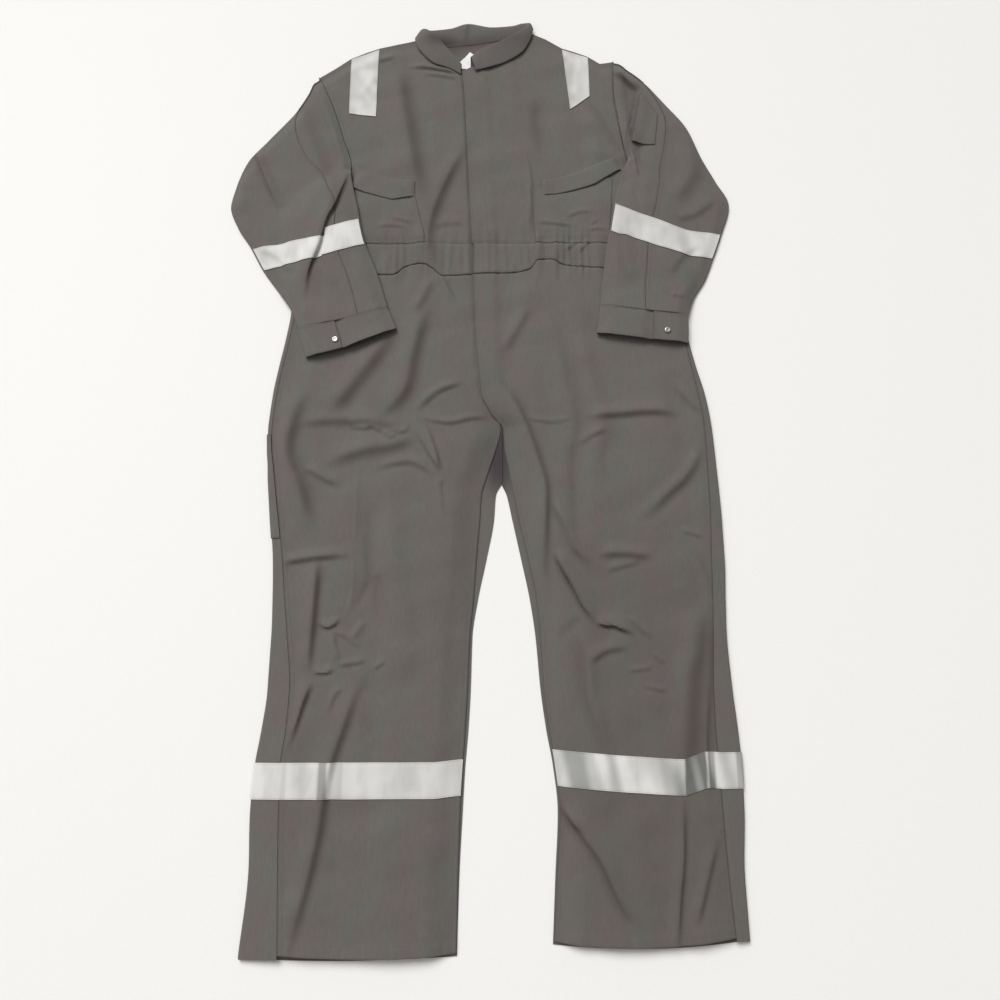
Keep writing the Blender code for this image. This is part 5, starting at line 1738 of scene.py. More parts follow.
@dataclass
class Sleeve:
    """A flattened sleeve in two halves that meet on a seam, with its silver band."""

    side: Side
    bodice: Bodice
    pile: Pile
    step: float = 3.2 * MM
    low_step: float = 9 * MM
    length: float = 540 * MM
    last_row: int = 11

    def plan(self, at: Array, share: Array) -> tuple[Array, Array, Array]:
        """Plan positions across the tube, whose first row follows the armhole.

        Args:
            at: rows of its table.
            share: 0 at its inner edge, 1 at the outer.

        Returns:
            x, y, and the width at each row.
        """
        x, y, width = tube_plan(SLEEVE[self.side], at, share)
        near = ease(1 - at[:, None] / 0.8) if at.min() < 0.8 else 0
        armhole = side_x(self.side, y) + self.side.value * 2 * SEAM
        return mix(x, armhole, near * (at[:, None] < 0.8) * ease(1 - at[:, None] * 3)), y, width

    def faces(self, at: Array, share: Array, over: Array) -> Array:
        """Points of the tube, which rises with what lies below it, and whose top has air and
        folds as well.

        Args:
            at: rows of its table.
            share: 0 at its inner edge, 1 at the outer.
            over: 0 for the tube's bottom, 1 for its top.

        Returns:
            The points.
        """
        x, y, width = self.plan(at, share)
        edge = np.minimum(share, 1 - share) * width
        ground = self.pile.over(x, y)
        air = SLEEVE[self.side].along("air", at)[:, None]
        height, shift = SLEEVE_DRAPE[self.side].read(x, y)
        keep = ease(edge / 0.014)
        top = SLEEVE_TURN + bend(edge) + air * ease(edge / 0.025) + height * keep + ground
        bottom = SLEEVE_TURN - bend(edge) + ground
        start_x, start_y, _ = self.plan(np.zeros(1), np.linspace(0, 1, 60)[None, :])
        from_arm = np.min(np.hypot(x[..., None] - start_x[0], y[..., None] - start_y[0]), axis=-1)
        body = self.bodice.front_face(self.side, x - self.side.value * 3 * MM, y)[..., 2]
        sewn = ease(from_arm / 0.018)
        top = mix(np.minimum(body, top), top, 0.25 + 0.75 * sewn) + welt(from_arm, 7, 0.3)
        bottom = np.minimum(bottom, top - 2 * CLOTH - 0.2 * MM * (1 - over))
        return shifted(x, y, mix(bottom, top, over), shift * (keep * over * sewn)[..., None])

    def half(self, upper: bool) -> Array:
        """The outer face of one half, cuff to armhole: from the seam below, round the tube's
        outer edge (or, for the under half, its inner one), and back to the seam above.

        Args:
            upper: whether it is the upper half.

        Returns:
            The points.
        """
        rows = np.linspace(self.last_row, 0, steps(self.length, self.step) + 1)
        seam = SLEEVE[self.side].along("seam", rows)[:, None]
        width = self.plan(rows, np.zeros((1, 1)))[2]
        turn = SLEEVE_TURN / width
        edge = 1 - turn * CURVE if upper else turn * CURVE
        stop, wide = (1 - turn, 0.23) if upper else (turn, 0.17)
        low = mix(seam, stop, np.linspace(0, 1, steps(wide, self.low_step))[None, :-1])
        high = mix(stop, seam, np.linspace(0, 1, steps(wide, self.step))[None, 1:])
        share = np.concatenate([low, edge[:, ::-1], edge[:, 1:], high], axis=1)
        over = np.zeros(share.shape)
        over[:, low.shape[1] + edge.shape[1] - 1 :] = 1
        points = self.faces(rows, share, over)
        away = np.abs(share - seam) * width
        points[..., 2] += over * (welt(away, 7, 0.45) if upper else welt(away, 2, -0.2))
        side = self.side.value * (1 if upper else -1)
        points[..., 0] += side * 0.25 * MM * np.exp(-away / MM)
        return points[:, ::-1] if upper is (self.side is Side.LEFT) else points

    def band(self) -> Array:
        """The silver band's outer face, on the sleeve's top. The left one sags at its inner end.
        The right one steps down where the long fold hides a part of it, and is narrower there.

        Returns:
            The points.
        """
        t = np.linspace(0, 1, 15)
        share = np.linspace(0.015, 0.985, 96)
        if self.side is Side.RIGHT:
            beyond = np.clip((share - 0.39) / 0.6, 0, 1)
            upper = mix(0.2, mix(0.5, 0.17, beyond), ease((share - 0.32) / 0.02))
            lower = mix(0.17, mix(0.24, 0.06, beyond), ease((share - 0.42) / 0.02))
        else:
            upper = 0.04 + 0.14 * (1 - ease(share / 0.4))
            lower = 0.05 + 0.13 * (1 - ease(share / 0.4))
        stack = []
        for across, top, bottom in zip(share, upper, lower):
            at = mix(SLEEVE_TAPE[1] + bottom, SLEEVE_TAPE[0] + top, t)
            stack.append(self.faces(at, np.full((1, 1), across), np.ones((at.size, 1))))
        face = np.concatenate(stack[::-1] if self.side is Side.RIGHT else stack, axis=1)
        return face + normals(face) * (GAP + FILM + CLEAR)

    def build(self) -> dict[str, Array]:
        """Makes the halves and the band, lying on the pile.

        Returns:
            Their outer faces, by node.
        """
        mark = self.side.mark
        upper, under, tape = (f"{n}_{mark}" for n in ("upper_sleeve", "under_sleeve", "sleeve_tape"))
        drape = SLEEVE_DRAPE[self.side]
        made = {}
        for name in (upper, under):
            sheet = Sheet(name, (f"front_bodice_{mark}", f"front_leg_{mark}"), wrapped=True, drape=drape)
            made[name] = sheet.make(self.half(name == upper))
        band = self.band()
        # Painted streaks of dimmer reflection, and painted shade beside the sleeve's folds.
        dull = 0.09 + 0.05 * self.side.value + 0.12 * Rumple(97, (19, 23)).wave(band[..., 0], band[..., 1])
        dull = np.clip(dull + 0.6 * drape.shade(band), 0, 1)
        sheet = Sheet(tape, (upper, under), FILM, Finish.SILVER, wrapped=True)
        return {**made, tape: sheet.make(band, {"dull": dull})}


@dataclass
class Cuff:
    """A band round the sleeve's end, closed by its lapped end and a snap."""

    side: Side
    pile: Pile
    cloth: float = 1.0 * MM
    air: float = 5.0 * MM
    last_row: int = 2
    row_length: float = 25 * MM

    def plan(self, at: Array, share: Array) -> tuple[Array, Array, Array]:
        """Plan positions across the cuff, which runs straight on past its first row.

        Args:
            at: rows of its table.
            share: 0 at its inner edge, 1 at the outer.

        Returns:
            x, y, and the width at each row.
        """
        x, y, width = tube_plan(CUFF[self.side], np.clip(at, 0, self.last_row), share)
        return x, y - np.minimum(at, 0)[:, None] * self.row_length, width

    def ring(self) -> Array:
        """The band's outer face: it starts under its own lapped end, runs round the inner edge,
        along the bottom, round the outer edge and over its start.

        Returns:
            The points.
        """
        first_row = -0.1
        at = np.linspace(self.last_row, first_row, 22)
        turn = SLEEVE_TURN / self.plan(at, np.zeros((1, 1)))[2]
        stop = CUFF_EDGE[self.side]
        inner, outer = turn * CURVE, 1 - turn * CURVE
        start = mix(stop + CUFF_LAP, turn, np.linspace(0, 1, 40)[None, :-1])
        bottom = mix(turn, 1 - turn, np.linspace(0, 1, 30)[None, 1:-1])
        finish = mix(1 - turn, stop, np.linspace(0, 1, 26)[None, 1:])
        stretches = [start, inner[:, ::-1], inner[:, 1:], bottom, outer[:, ::-1], outer[:, 1:], finish]
        share = np.concatenate(stretches, axis=1)
        first = start.shape[1] + inner.shape[1] - 1
        last = share.shape[1] - finish.shape[1] - outer.shape[1] + 1
        x, y, width = self.plan(at, share)
        from_edge = np.minimum(share, 1 - share) * width
        ground = self.pile.over(x, y)
        sag = Rumple(81 + self.side.value, (30, 26), 0.7).height(x, y)
        top = SLEEVE_TURN + bend(from_edge) + (self.air + sag) * ease(from_edge / 0.022) + ground
        for from_row in (at - first_row, self.last_row - at):
            top = top + welt(from_row[:, None] * self.row_length, 6, 0.3)
        low = SLEEVE_TURN - bend(from_edge) + ground
        under = top - (WALL + 2 * GAP) * ease((share - stop + 0.12) / 0.1)
        z = np.where(np.arange(share.shape[1]) < first, under, low)
        z[:, last:] = top[:, last:]
        points = grid_of(x, y, z)
        return points[:, ::-1] if self.side is Side.LEFT else points

    def snap(self, ring: Array) -> Array:
        """A pressed cap: rings from its rim over a shallow dome to a dimple in the middle.

        Args:
            ring: the cuff's outer face, which it sits on.

        Returns:
            The points, with one row for each ring.
        """
        x, y = (v * MM for v in SNAP_AT[self.side])
        near = np.hypot(ring[..., 0] - x, ring[..., 1] - y) < 9 * MM
        seat = ring[..., 2][near].max() + 0.1 * MM
        radius, rise = (SNAP.column(name)[:, None] for name in SNAP.names.split())
        a = np.linspace(0, 2 * math.pi, 41)[None, :-1]
        return grid_of(x + radius * np.cos(a), y + radius * np.sin(a), seat + rise + 0 * a)

    def build(self) -> dict[str, Array]:
        """Makes the cuff and its snap.

        Returns:
            The cuff's outer face, by node.
        """
        mark = self.side.mark
        below = (f"front_leg_{mark}", f"front_casing_{mark}")
        ring = Sheet(f"cuff_{mark}", below, self.cloth, wrapped=True).make(self.ring())
        cap = self.snap(ring)
        at = np.arange(cap.shape[0] * cap.shape[1]).reshape(cap.shape[:2])
        after = np.roll(at, -1, axis=1)
        quads = np.stack([at[:-1], after[:-1], after[1:], at[1:]], -1).reshape(-1, 4)
        faces = [tuple(face) for face in (*quads.tolist(), at[0][::-1].tolist(), at[-1].tolist())]
        snap = add_mesh(f"cuff_snap_{mark}", cap.reshape(-1, 3), faces, Finish.SNAP, sharp=40)
        declare(snap, Finish.SNAP, f"cuff_snap_{mark}")
        return {f"cuff_{mark}": ring}


@dataclass
class Collar:
    """The turned-down collar: a stand from the neck seam up to the roll, and the leaf outside."""

    cloth: float = 1.3 * MM
    parting: float = 2.0 * MM
    lowest: float = 0.05 * MM

    def ring(self) -> Array:
        """The collar's middle face: sections round the neck, each from the neck seam over the
        roll to the leaf's edge."""
        at = np.arange(0, len(COLLAR.rows) - 1 + 1e-9, 0.08)
        n, r, leaf = (np.stack([COLLAR.along(part + axis, at) for axis in "xyz"], -1) for part in "nrl")
        n[:, 1] += 3 * SEAM
        facing = np.radians(COLLAR.along("facing", at) / MM)
        away = np.where(r[:, 0] < -0.015, -1, 1)
        out = np.stack([away * np.cos(facing), 0 * facing, np.sin(facing)], -1) * self.parting
        wave = Rumple(91, (0.9, 50), 1.6).height(at * MM, 0 * at)[:, None] * (0, 0, 1)
        section = [
            n,
            mix(n, r, 0.45) - out * 0.6,
            mix(n, r, 0.82) - out,
            mix(n, r, 0.96) - out * 0.7,
            r,
            mix(leaf, r, 0.96) + out * 0.7 + wave * 0.3,
            mix(leaf, r, 0.82) + out + wave * 0.7,
            mix(leaf, r, 0.45) + out * 0.8 + wave,
            leaf + wave * 0.5,
        ]
        stand, roll, fall = np.linspace(0, 3, 13), np.linspace(3, 5, 11), np.linspace(5, 8, 16)
        fine = np.concatenate([stand[:-1], roll[:-1], fall])
        flat = np.stack(section).reshape(len(section), -1)
        curve = [monotone(np.arange(len(section), dtype=float), column, fine) for column in flat.T]
        grid = np.stack(curve, axis=1).reshape(fine.size, at.size, 3).transpose(1, 0, 2)
        grid[..., 2] = np.maximum(grid[..., 2], 0.55 * self.cloth + 0.2 * MM)
        return grid

    def dark(self, outer: Array) -> Marks:
        """The collar's dark places: its edges, and painted shade along a fold pressed into its back,
        in the hollow of the neck and inside the stand.

        Args:
            outer: the collar's outer face.

        Returns:
            How dark each point is.
        """
        # The pressed fold is only painted shade along a trough.
        pressed = Drape((Crease(((-24, 800), (-26, 784), (-32, 750), (-50, 732)), 3.5, -1),))
        edge = np.zeros(outer.shape[:2])
        edge[:, [0, -1]] = edge[[0, -1]] = 0.6
        x, y = outer[..., 0] / MM, outer[..., 1] / MM
        # Painted shade in the hollow of the neck and inside the stand.
        hollow = 0.95 * bell(x + 68, 26) * bell(y - 753, 12)
        inside = 0.35 * np.exp(-((x / 75) ** 4) - ((y - 757 - 0.12 * x) / 13) ** 2)
        return {"seam": np.max([edge, 6 * pressed.shade(outer), hollow, inside], axis=0)}

    def build(self) -> dict[str, Array]:
        """Makes the collar as a shell about its middle face.

        Returns:
            The outer face, by node.
        """
        ring = self.ring()
        half = normals(ring) * self.cloth / 2
        outer, inner = ring + half, ring - half
        for face in (outer, inner):
            face[..., 2] = np.maximum(face[..., 2], self.lowest)
        sheet = Sheet("collar", ("back_bodice", "front_bodice_r", "front_bodice_l"))
        return {"collar": sheet.make(outer, self.dark(outer), inner)}


@dataclass
class Zip:
    """The zip between the fronts: a tape with a row of teeth."""

    bodice: Bodice
    low: float = 105 * MM
    high: float = 670 * MM
    teeth: int = 225
    tooth: tuple[float, float, float] = (1.9 * MM, 0.7 * MM, 0.45 * MM)

    def build(self) -> None:
        """Makes the tape, and its teeth as one piece: a small box for each."""
        y = np.linspace(self.low, self.high, 190)[:, None]
        x = fly_x(y) + np.linspace(5, 22, 8)[None, :] * MM
        face = self.bodice.front_face(Side.RIGHT, x, y + 0 * x)
        face[..., 2] += 0.9 * MM
        tape = shell("front_zip", face, face - (0, 0, 0.5 * MM), Finish.ZIP)
        declare(tape, Finish.ZIP, "front_zip")
        line = resample(face[:, 1], self.teeth + 1)
        run = np.diff(line, axis=0)
        centres = (line[1:] + line[:-1]) / 2 + (0, 0, 0.5 * MM)
        corners = np.array([[s, t, u] for u in (-1, 1) for t in (-1, 1) for s in (-1, 1)], float)
        corners *= self.tooth
        way = run / np.linalg.norm(run, axis=1, keepdims=True)
        across = np.stack([way[:, 1], -way[:, 0], 0 * way[:, 0]], axis=1)
        points = centres[:, None] + corners[None, :, :1] * across[:, None]
        points = points + corners[None, :, 1:2] * way[:, None] + corners[None, :, 2:] * (0, 0, 1)
        box = np.array([(0, 2, 3, 1), (4, 5, 7, 6), (0, 1, 5, 4), (2, 6, 7, 3), (0, 4, 6, 2), (1, 3, 7, 5)])
        faces = (box[None] + 8 * np.arange(len(points))[:, None, None]).reshape(-1, 4)
        declare(add_mesh("zip_teeth", points.reshape(-1, 3), faces, Finish.ZIP), Finish.ZIP)


# ---- stitches ----


@dataclass
class Stitches:
    """Rows of small stitches, gathered by sub-assembly and made as one mesh each."""

    pitch: float = 3.4 * MM
    length: float = 2.5 * MM
    width: float = 0.5 * MM
    height: float = 0.34 * MM
    rows: dict[str, list[Array]] = field(default_factory=dict)

    def along(self, group: str, line: Array) -> None:
        """Adds stitches along a line of points, each with its two ends.

        Args:
            group: the sub-assembly.
            line: the points.
        """
        passed = np.concatenate([[0], np.cumsum(np.linalg.norm(np.diff(line, axis=0), axis=1))])
        if passed[-1] < 2 * self.pitch:
            return
        at = np.arange(self.pitch / 2, passed[-1] - self.pitch / 2, self.pitch)
        ends = []
        for offset in (-self.length / 2, self.length / 2):
            ends.append(np.stack([np.interp(at + offset, passed, line[:, k]) for k in range(3)], 1))
        self.rows.setdefault(group, []).append(np.stack(ends, axis=1))

    def beside(self, group: str, grid: Array, rims: Rim | tuple[Rim, ...], *distances: float) -> None:
        """Adds rows beside edges of a grid.

        Args:
            group: the sub-assembly.
            grid: the piece's outer face.
            rims: the edge or edges.
            distances: from the edge, in millimetres.
        """
        for rim in (rims,) if isinstance(rims, Rim) else rims:
            for distance in distances:
                self.along(group, inset_line(grid, rim, distance * MM))

    def sew(self, made: dict[str, Array]) -> None:
        """Puts the rows of stitches on the pieces' faces.

        Args:
            made: each piece's outer face, by node.
        """
        ends, sides = (Rim.LOW, Rim.HIGH), (Rim.LEFT, Rim.RIGHT)
        for side in Side:
            mark = side.mark
            outer, inner = sides if side is Side.RIGHT else sides[::-1]
            self.beside("legs", made[f"front_leg_{mark}"], (outer, inner), 1.6, 6.6)
            self.beside("legs", made[f"front_leg_{mark}"], Rim.LOW, 15.6)
            for rim in ends:
                self.beside("bands", made[f"leg_tape_{mark}"], rim, 1.8)
                self.beside("bands", made[f"sleeve_tape_{mark}"], rim, 1.8)
            self.beside("waist", made[f"front_casing_{mark}"], Rim.LOW, 1.6, 4.6)
            self.beside("fronts", made[f"front_bodice_{mark}"], outer, 1.6, 6.6)
            for rim in sides:
                self.beside("pockets", made[f"chest_pocket_{mark}"], rim, 1.6, 6.6)
                self.beside("pockets", made[f"pocket_flap_{mark}"], rim, 1.6)
                self.beside("pockets", made[f"shoulder_tape_{mark}"], rim, 1.4)
            self.beside("pockets", made[f"pocket_flap_{mark}"], ends, 1.6, 5.6)
            self.beside("sleeves", made[f"upper_sleeve_{mark}"], (inner, Rim.HIGH), 1.6, 5.6)
            self.beside("cuffs", made[f"cuff_{mark}"], (*ends, inner), 1.6, 4.6)
        self.beside("fronts", made["front_bodice_l"], Rim.LEFT, 30)
        self.beside("collar", made["collar"], Rim.RIGHT, 1.8, 6)
        self.beside("collar", made["collar"], Rim.LEFT, 2)
        self.beside("pockets", made["pen_pocket"], (*ends, *sides), 1.6)
        self.beside("legs", made["rule_pocket"], Rim.HIGH, 1.8, 12)
        self.beside("legs", made["rule_pocket"], Rim.LOW, 1.8)

    def build(self) -> None:
        """Makes the stitches: each a spindle with two ends and four points round its middle."""
        for group, parts in self.rows.items():
            ends = np.concatenate(parts)
            start, stop = ends[:, 0], ends[:, 1]
            way = stop - start
            way /= np.maximum(np.linalg.norm(way, axis=1, keepdims=True), 1e-9)
            across = np.cross(way, (0, 0, 1))
            across /= np.maximum(np.linalg.norm(across, axis=1, keepdims=True), 1e-9)
            up = np.cross(across, way)
            middle = (start + stop) / 2 + up * self.height * 0.35
            ring = [middle + across * self.width / 2, middle + up * self.height * 0.65]
            ring += [middle - across * self.width / 2, middle - up * self.height]
            points = np.stack([start, *ring, stop], axis=1)
            fan = [(0, 1 + (k + 1) % 4, 1 + k) for k in range(4)]
            fan += [(5, 1 + k, 1 + (k + 1) % 4) for k in range(4)]
            faces = (np.array(fan)[None] + 6 * np.arange(len(points))[:, None, None]).reshape(-1, 3)
            obj = add_mesh(f"stitches_{group}", points.reshape(-1, 3), faces, Finish.THREAD, sharp=180)
            declare(obj, Finish.CLOTH)


# ---- finishes ----

Colour = tuple[float, float, float]
Socket = bpy.types.NodeSocket


def opaque(colour: Colour, share: float = 1.0) -> tuple[float, float, float, float]:
    """A colour, or a darker share of it, as a socket takes it."""
    return (*(share * v for v in colour), 1.0)


@dataclass
class Wires:
    """Adds and links nodes of a tree. Wherever a value is asked for, a socket is linked."""

    tree: bpy.types.NodeTree

    @classmethod
    def of_material(cls, finish: Finish) -> "Wires":
        """The wires of a new material, which has only its Principled shader.

        Args:
            finish: whose look it is.

        Returns:
            The wires.
        """
        material = bpy.data.materials.new(finish.look)
        material.use_nodes = True
        return cls(material.node_tree)

    def node(self, kind: str, values: dict[str, object] | None = None, **settings: object) -> bpy.types.Node:
        """Adds a node.

        Args:
            kind: its type.
            values: what its inputs get, by name or number.
            settings: what is set on the node itself.

        Returns:
            The node.
        """
        made = self.tree.nodes.new(kind)
        for key, value in settings.items():
            setattr(made, key, value)
        for key, value in (values or {}).items():
            self.put(made.inputs[int(key)] if key.isdigit() else made.inputs[key], value)
        return made

    def put(self, place: Socket, value: object) -> None:
        """Links a socket to an input, or sets the input's value.

        Args:
            place: the input.
            value: what it gets.
        """
        if isinstance(value, Socket):
            self.tree.links.new(value, place)
        else:
            place.default_value = value

    def maths(self, operation: str, a: object, b: object = 0.0, c: object = 0.0) -> Socket:
        """The result of a Math node."""
        return self.node("ShaderNodeMath", {"0": a, "1": b, "2": c}, operation=operation).outputs[0]

    def blend(self, share: object, a: object, b: object) -> Socket:
        """A colour from a, at share 0, to b, at share 1.

        Args:
            share: from 0 to 1.
            a, b: the colours.

        Returns:
            The colour.
        """
        made = self.node("ShaderNodeMix", data_type="RGBA")
        for place, value in zip((made.inputs[0], made.inputs[6], made.inputs[7]), (share, a, b)):
            self.put(place, value)
        return made.outputs[2]

    def place(self) -> Socket:
        """The place on the suit."""
        return self.node("ShaderNodeTexCoord").outputs["Object"]

    def mark(self, name: str) -> Socket:
        """A number that the piece's points carry."""
        return self.node("ShaderNodeAttribute", attribute_name=name).outputs["Fac"]

    def drawn(self, place: Socket, scale: Colour) -> Socket:
        """A place whose axes are scaled, which draws a pattern out along the small ones."""
        return self.node("ShaderNodeMapping", {"Vector": place, "Scale": scale}).outputs[0]

    def noise(self, place: Socket, scale: float, detail: float) -> Socket:
        """A noise of so many grains a metre."""
        values = {"Vector": place, "Scale": scale, "Detail": detail}
        return self.node("ShaderNodeTexNoise", values).outputs["Fac"]

    def ramp(self, value: Socket, start: float, stop: float, low: float = 0.0, high: float = 1.0) -> Socket:
        """low where the value is at start, high where it is at stop, and even between them."""
        values = {"Value": value, "From Min": start, "From Max": stop, "To Min": low, "To Max": high}
        return self.node("ShaderNodeMapRange", values).outputs[0]

    def bump(self, height: Socket, strength: float, distance: float, **below: Socket) -> Socket:
        """A normal that follows a height, on top of the Normal below it, if one is given."""
        values = {"Height": height, "Strength": strength, "Distance": distance, **below}
        return self.node("ShaderNodeBump", values).outputs[0]

    def finish(self, colour: Socket, normal: Socket, **values: float) -> None:
        """Gives the Principled shader its colour, its normal and plain values.

        Args:
            colour: the base colour.
            normal: the bumped normal.
            values: what further inputs get, by name in lower case with _ for a space.
        """
        inputs = self.tree.nodes["Principled BSDF"].inputs
        self.put(inputs["Base Color"], colour)
        self.put(inputs["Normal"], normal)
        by_name = {place.name.lower().replace(" ", "_"): place for place in inputs}
        for name, value in values.items():
            by_name[name].default_value = value


def twill_group() -> bpy.types.NodeTree:
    """A group that turns a map position in metres into a twill's bump height and tone.

    Returns:
        The group.
    """
    tree = bpy.data.node_groups.new("twill", "ShaderNodeTree")
    tree.interface.new_socket("Map", in_out="INPUT", socket_type="NodeSocketVector")
    tree.interface.new_socket("Pitch", in_out="INPUT", socket_type="NodeSocketFloat")
    for name in ("Height", "Tone"):
        tree.interface.new_socket(name, in_out="OUTPUT", socket_type="NodeSocketFloat")
    wires = Wires(tree)
    given, taken = wires.node("NodeGroupInput"), wires.node("NodeGroupOutput")
    split = wires.node("ShaderNodeSeparateXYZ", {"0": given.outputs["Map"]})
    u, v = (wires.maths("DIVIDE", split.outputs[k], given.outputs["Pitch"]) for k in (0, 1))
    diagonal = wires.maths("SINE", wires.maths("MULTIPLY", wires.maths("ADD", u, v), math.pi))
    weft, warp = (wires.maths("SINE", wires.maths("MULTIPLY", w, 2 * math.pi)) for w in (u, v))
    thread = wires.maths("MULTIPLY", weft, warp)
    height = wires.maths("MULTIPLY_ADD", thread, 0.35, wires.maths("MULTIPLY", diagonal, 0.65))
    wires.put(taken.inputs["Height"], wires.maths("MULTIPLY_ADD", height, 0.5, 0.5))
    slub = wires.noise(given.outputs["Map"], 900.0, 2.0)
    wires.put(taken.inputs["Tone"], wires.maths("MULTIPLY_ADD", slub, 0.6, 0.2))
    return tree


@dataclass(frozen=True)
class Cloth:
    """A dyed cotton twill: clouded between a purplish and a greenish grey, napped, with a weave,
    darker along its seams, with painted shade beside folds and in hollows, and a few darker-toned places."""

    finish: Finish
    colour: Colour
    warm: Colour
    cool: Colour
    shade_and_tone: Colour
    seam: Colour
    pitch: float = 0.55 * MM
    roughness: float = 0.88
    sheen: float = 0.08

    def clouds(self, wires: Wires) -> Socket:
        """The dye's clouds, drawn out along the legs, and its thicker threads.

        Args:
            wires: the material's.

        Returns:
            The dye's colour.
        """
        solid = wires.place()
        patchy = wires.noise(wires.drawn(solid, (1.0, 0.5, 0.6)), 24.0, 5.0)
        thin = wires.noise(wires.drawn(solid, (1.0, 0.12, 0.3)), 95.0, 2.0)
        both = wires.maths("MULTIPLY_ADD", thin, 0.35, wires.maths("MULTIPLY", patchy, 0.65))
        tinted = wires.blend(wires.ramp(both, 0.42, 0.58), opaque(self.warm), opaque(self.cool))
        tint = wires.ramp(wires.noise(solid, 6.5, 2.0), 0.3, 0.7, 0.35, 1.0)
        slubs = wires.noise(wires.drawn(solid, (1.0, 0.22, 0.5)), 360.0, 1.0)
        dyed = wires.blend(tint, opaque(self.colour), tinted)
        return wires.blend(wires.ramp(slubs, 0.3, 0.7, 0.0, 0.22), dyed, opaque(self.colour, 0.6))

    def build(self, twill: bpy.types.NodeTree) -> None:
        """Makes the material.

        Args:
            twill: the weave's group.
        """
        wires = Wires.of_material(self.finish)
        weave = wires.node("ShaderNodeGroup", node_tree=twill)
        wires.put(weave.inputs["Map"], wires.node("ShaderNodeUVMap", uv_map="cloth").outputs[0])
        wires.put(weave.inputs["Pitch"], self.pitch)
        # Painted shade beside folds and in hollows, and darker tone, from the shade mark.
        base = wires.blend(wires.mark("shade"), self.clouds(wires), opaque(self.shade_and_tone))
        # Dark seams, and painted shade in the fork and the collar, from the seam mark.
        base = wires.blend(wires.maths("MULTIPLY", wires.mark("seam"), 0.9), base, opaque(self.seam))
        tone = wires.maths("MULTIPLY", weave.outputs["Tone"], 0.3)
        nap = wires.bump(
            wires.noise(wires.place(), 210.0, 3.0),
            0.25,
            0.5 * MM,
            Normal=wires.bump(weave.outputs["Height"], 0.3, 0.12 * MM),
        )
        wires.finish(
            wires.blend(tone, base, opaque(self.colour, 0.8)),
            nap,
            roughness=self.roughness,
            sheen_weight=self.sheen,
            sheen_roughness=0.5,
            specular_ior_level=0.2,
        )


@dataclass(frozen=True)
class Silver:
    """Bright sewn-on film, near white: painted greyer in streaks of dimmer reflection, and in shade where
    folds turn it away.
    """

    finish: Finish
    colour: Colour
    dull: Colour
    roughness: float = 0.7

    def build(self) -> None:
        """Makes the material."""
        wires = Wires.of_material(self.finish)
        solid, marked = wires.place(), wires.mark("dull")
        # Painted patches of dimmer reflection, added to the film's mark.
        shade_and_tone = wires.ramp(wires.noise(wires.drawn(solid, (1.0, 0.3, 0.5)), 34.0, 3.0), 0.45, 0.7, 0.0, 0.26)
        bright = wires.maths("SUBTRACT", 1.0, marked)
        share = wires.maths("ADD", marked, wires.maths("MULTIPLY", shade_and_tone, bright))
        beads = wires.node("ShaderNodeTexVoronoi", {"Vector": solid, "Scale": 1900.0})
        wires.finish(
            wires.blend(share, opaque(self.colour), opaque(self.dull)),
            wires.bump(beads.outputs["Distance"], 0.2, 0.08 * MM),
            roughness=self.roughness,
            metallic=0.0,
        )


@dataclass(frozen=True)
class Plain:
    """An even finish with a fine grain."""

    finish: Finish
    colour: Colour
    roughness: float
    metallic: float = 0.0
    grain: float = 700.0
    depth: float = 0.05 * MM

    def build(self) -> None:
        """Makes the material."""
        wires = Wires.of_material(self.finish)
        grain = wires.noise(wires.place(), self.grain, 2.0)
        wires.finish(
            wires.blend(grain, opaque(self.colour), opaque(self.colour, 0.86)),
            wires.bump(grain, 0.2, self.depth),
            roughness=self.roughness,
            metallic=self.metallic,
        )


def make_finishes() -> None:
    """Every material of the scene."""
    Cloth(
        Finish.CLOTH,
        colour=(0.141, 0.127, 0.117),
        warm=(0.148, 0.124, 0.121),
        cool=(0.135, 0.139, 0.122),
        # the colour of painted shade in creases and hollows, and of darker-toned places
        shade_and_tone=(0.076, 0.059, 0.054),
        # the colour of seams, and of painted shade in the fork and the collar's hollow
        seam=(0.040, 0.029, 0.036),
    ).build(twill_group())
    Silver(Finish.SILVER, (0.70, 0.69, 0.67), (0.135, 0.138, 0.128)).build()
    Plain(Finish.LABEL, (0.86, 0.85, 0.84), 0.45).build()
    Plain(Finish.ZIP, (0.11, 0.105, 0.10), 0.8).build()
    Plain(Finish.SNAP, (0.42, 0.41, 0.40), 0.35, 0.9).build()
    Plain(Finish.THREAD, (0.105, 0.098, 0.097), 0.7).build()
    Plain(Finish.FLOOR, (0.945, 0.935, 0.915), 0.9, 0.0, 900.0, 0.02 * MM).build()


# ---- stage ----

Place = tuple[float, float, float]


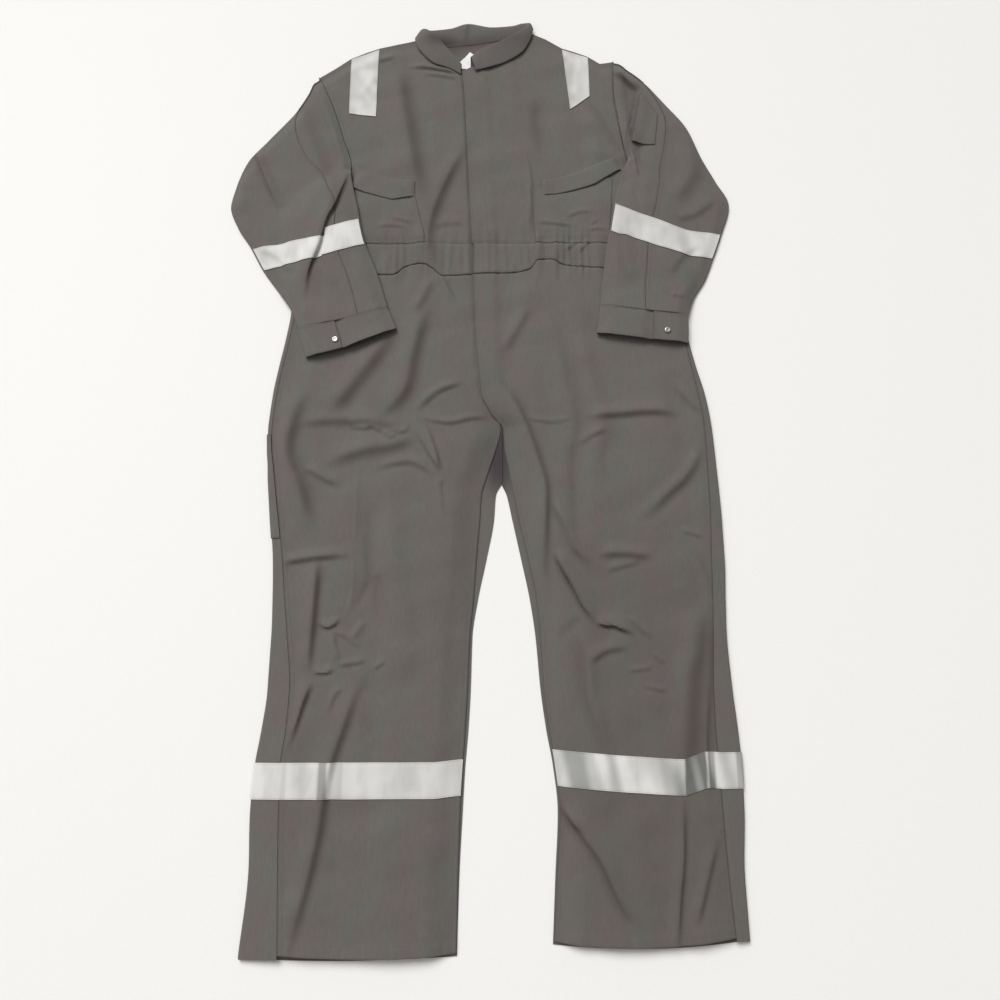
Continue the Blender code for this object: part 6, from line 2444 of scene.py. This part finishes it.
@dataclass
class Studio:
    """A pale table, a wide soft lamp from the upper left, an even sky, and the camera."""

    key: float = 2.55
    key_from: Place = (-0.8, 1.7, 2.0)
    softness: float = 34.0
    fill: float = 13.0
    fill_from: Place = (-1.6, 0.4, 2.2)
    fill_size: float = 2.0
    sky: float = 0.335
    sky_colour: Colour = (1.0, 0.995, 0.985)
    table_reach: float = 3.0
    table_drop: float = 0.3 * MM
    camera_at: Place = (0.0355, -0.436, 1.216)
    tilt: float = 14.0
    lens: float = 27.97

    def lamp(self, name: str, data: bpy.types.Light, place: Place) -> None:
        """Adds a light that faces the table's middle.

        Args:
            name: its name.
            data: its kind and strength.
            place: where it stands.
        """
        lamp = bpy.data.objects.new(name, data)
        lamp.location = place
        flat = math.hypot(place[0], place[1])
        lamp.rotation_euler = (math.atan2(flat, place[2]), 0, math.atan2(-place[1], -place[0]) - math.pi / 2)
        bpy.context.scene.collection.objects.link(lamp)

    def build(self) -> None:
        """Makes the stage."""
        scene = bpy.context.scene
        line = np.linspace(-self.table_reach, self.table_reach, 3)
        top = grid_of(line[None, :], line[:, None], -self.table_drop)
        shell("floor", top, top - (0, 0, 20 * MM), Finish.FLOOR)
        scene.world = bpy.data.worlds.new("studio")
        scene.world.use_nodes = True
        sky = scene.world.node_tree.nodes["Background"]
        sky.inputs["Color"].default_value = opaque(self.sky_colour)
        sky.inputs["Strength"].default_value = self.sky
        key = bpy.data.lights.new("key", "SUN")
        key.energy, key.angle = self.key, math.radians(self.softness)
        self.lamp("key", key, self.key_from)
        fill = bpy.data.lights.new("fill", "AREA")
        fill.energy, fill.size = self.fill, self.fill_size
        self.lamp("fill", fill, self.fill_from)
        scene.view_settings.view_transform = "Standard"
        data = bpy.data.cameras.new("camera")
        data.sensor_width, data.lens = 36.0, self.lens
        camera = bpy.data.objects.new("camera", data)
        camera.location = self.camera_at
        camera.rotation_euler = (math.radians(self.tilt), 0, 0)
        scene.collection.objects.link(camera)
        scene.camera = camera


# ---- the suit ----


def main() -> None:
    """Builds the suit piece by piece, then the stage."""
    logging.basicConfig(level=logging.INFO, format="%(message)s")
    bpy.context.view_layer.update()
    make_finishes()
    pile = Pile()
    made: dict[str, Array] = {}
    for side in Side:
        made |= Leg(side, pile).build()
        LOG.info("leg %s", side.mark)
    made |= Leg(Side.RIGHT, pile).rule_pocket()
    made |= Waist(pile).build()
    LOG.info("rule pocket and waist")
    bodice = Bodice(pile)
    patches = Patches(bodice, pile)
    made |= bodice.build()
    made |= patches.build()
    LOG.info("bodice and its patches")
    Zip(bodice).build()
    made |= Collar().build()
    LOG.info("zip and collar")
    for side in Side:
        made |= Sleeve(side, bodice, pile).build()
        made |= Cuff(side, pile).build()
        LOG.info("sleeve and cuff %s", side.mark)
    made |= patches.pen_pocket(made["upper_sleeve_l"], made["under_sleeve_l"])
    LOG.info("pen pocket")
    stitches = Stitches()
    stitches.sew(made)
    stitches.build()
    LOG.info("stitches")
    Studio().build()


if __name__ == "__main__":
    main()
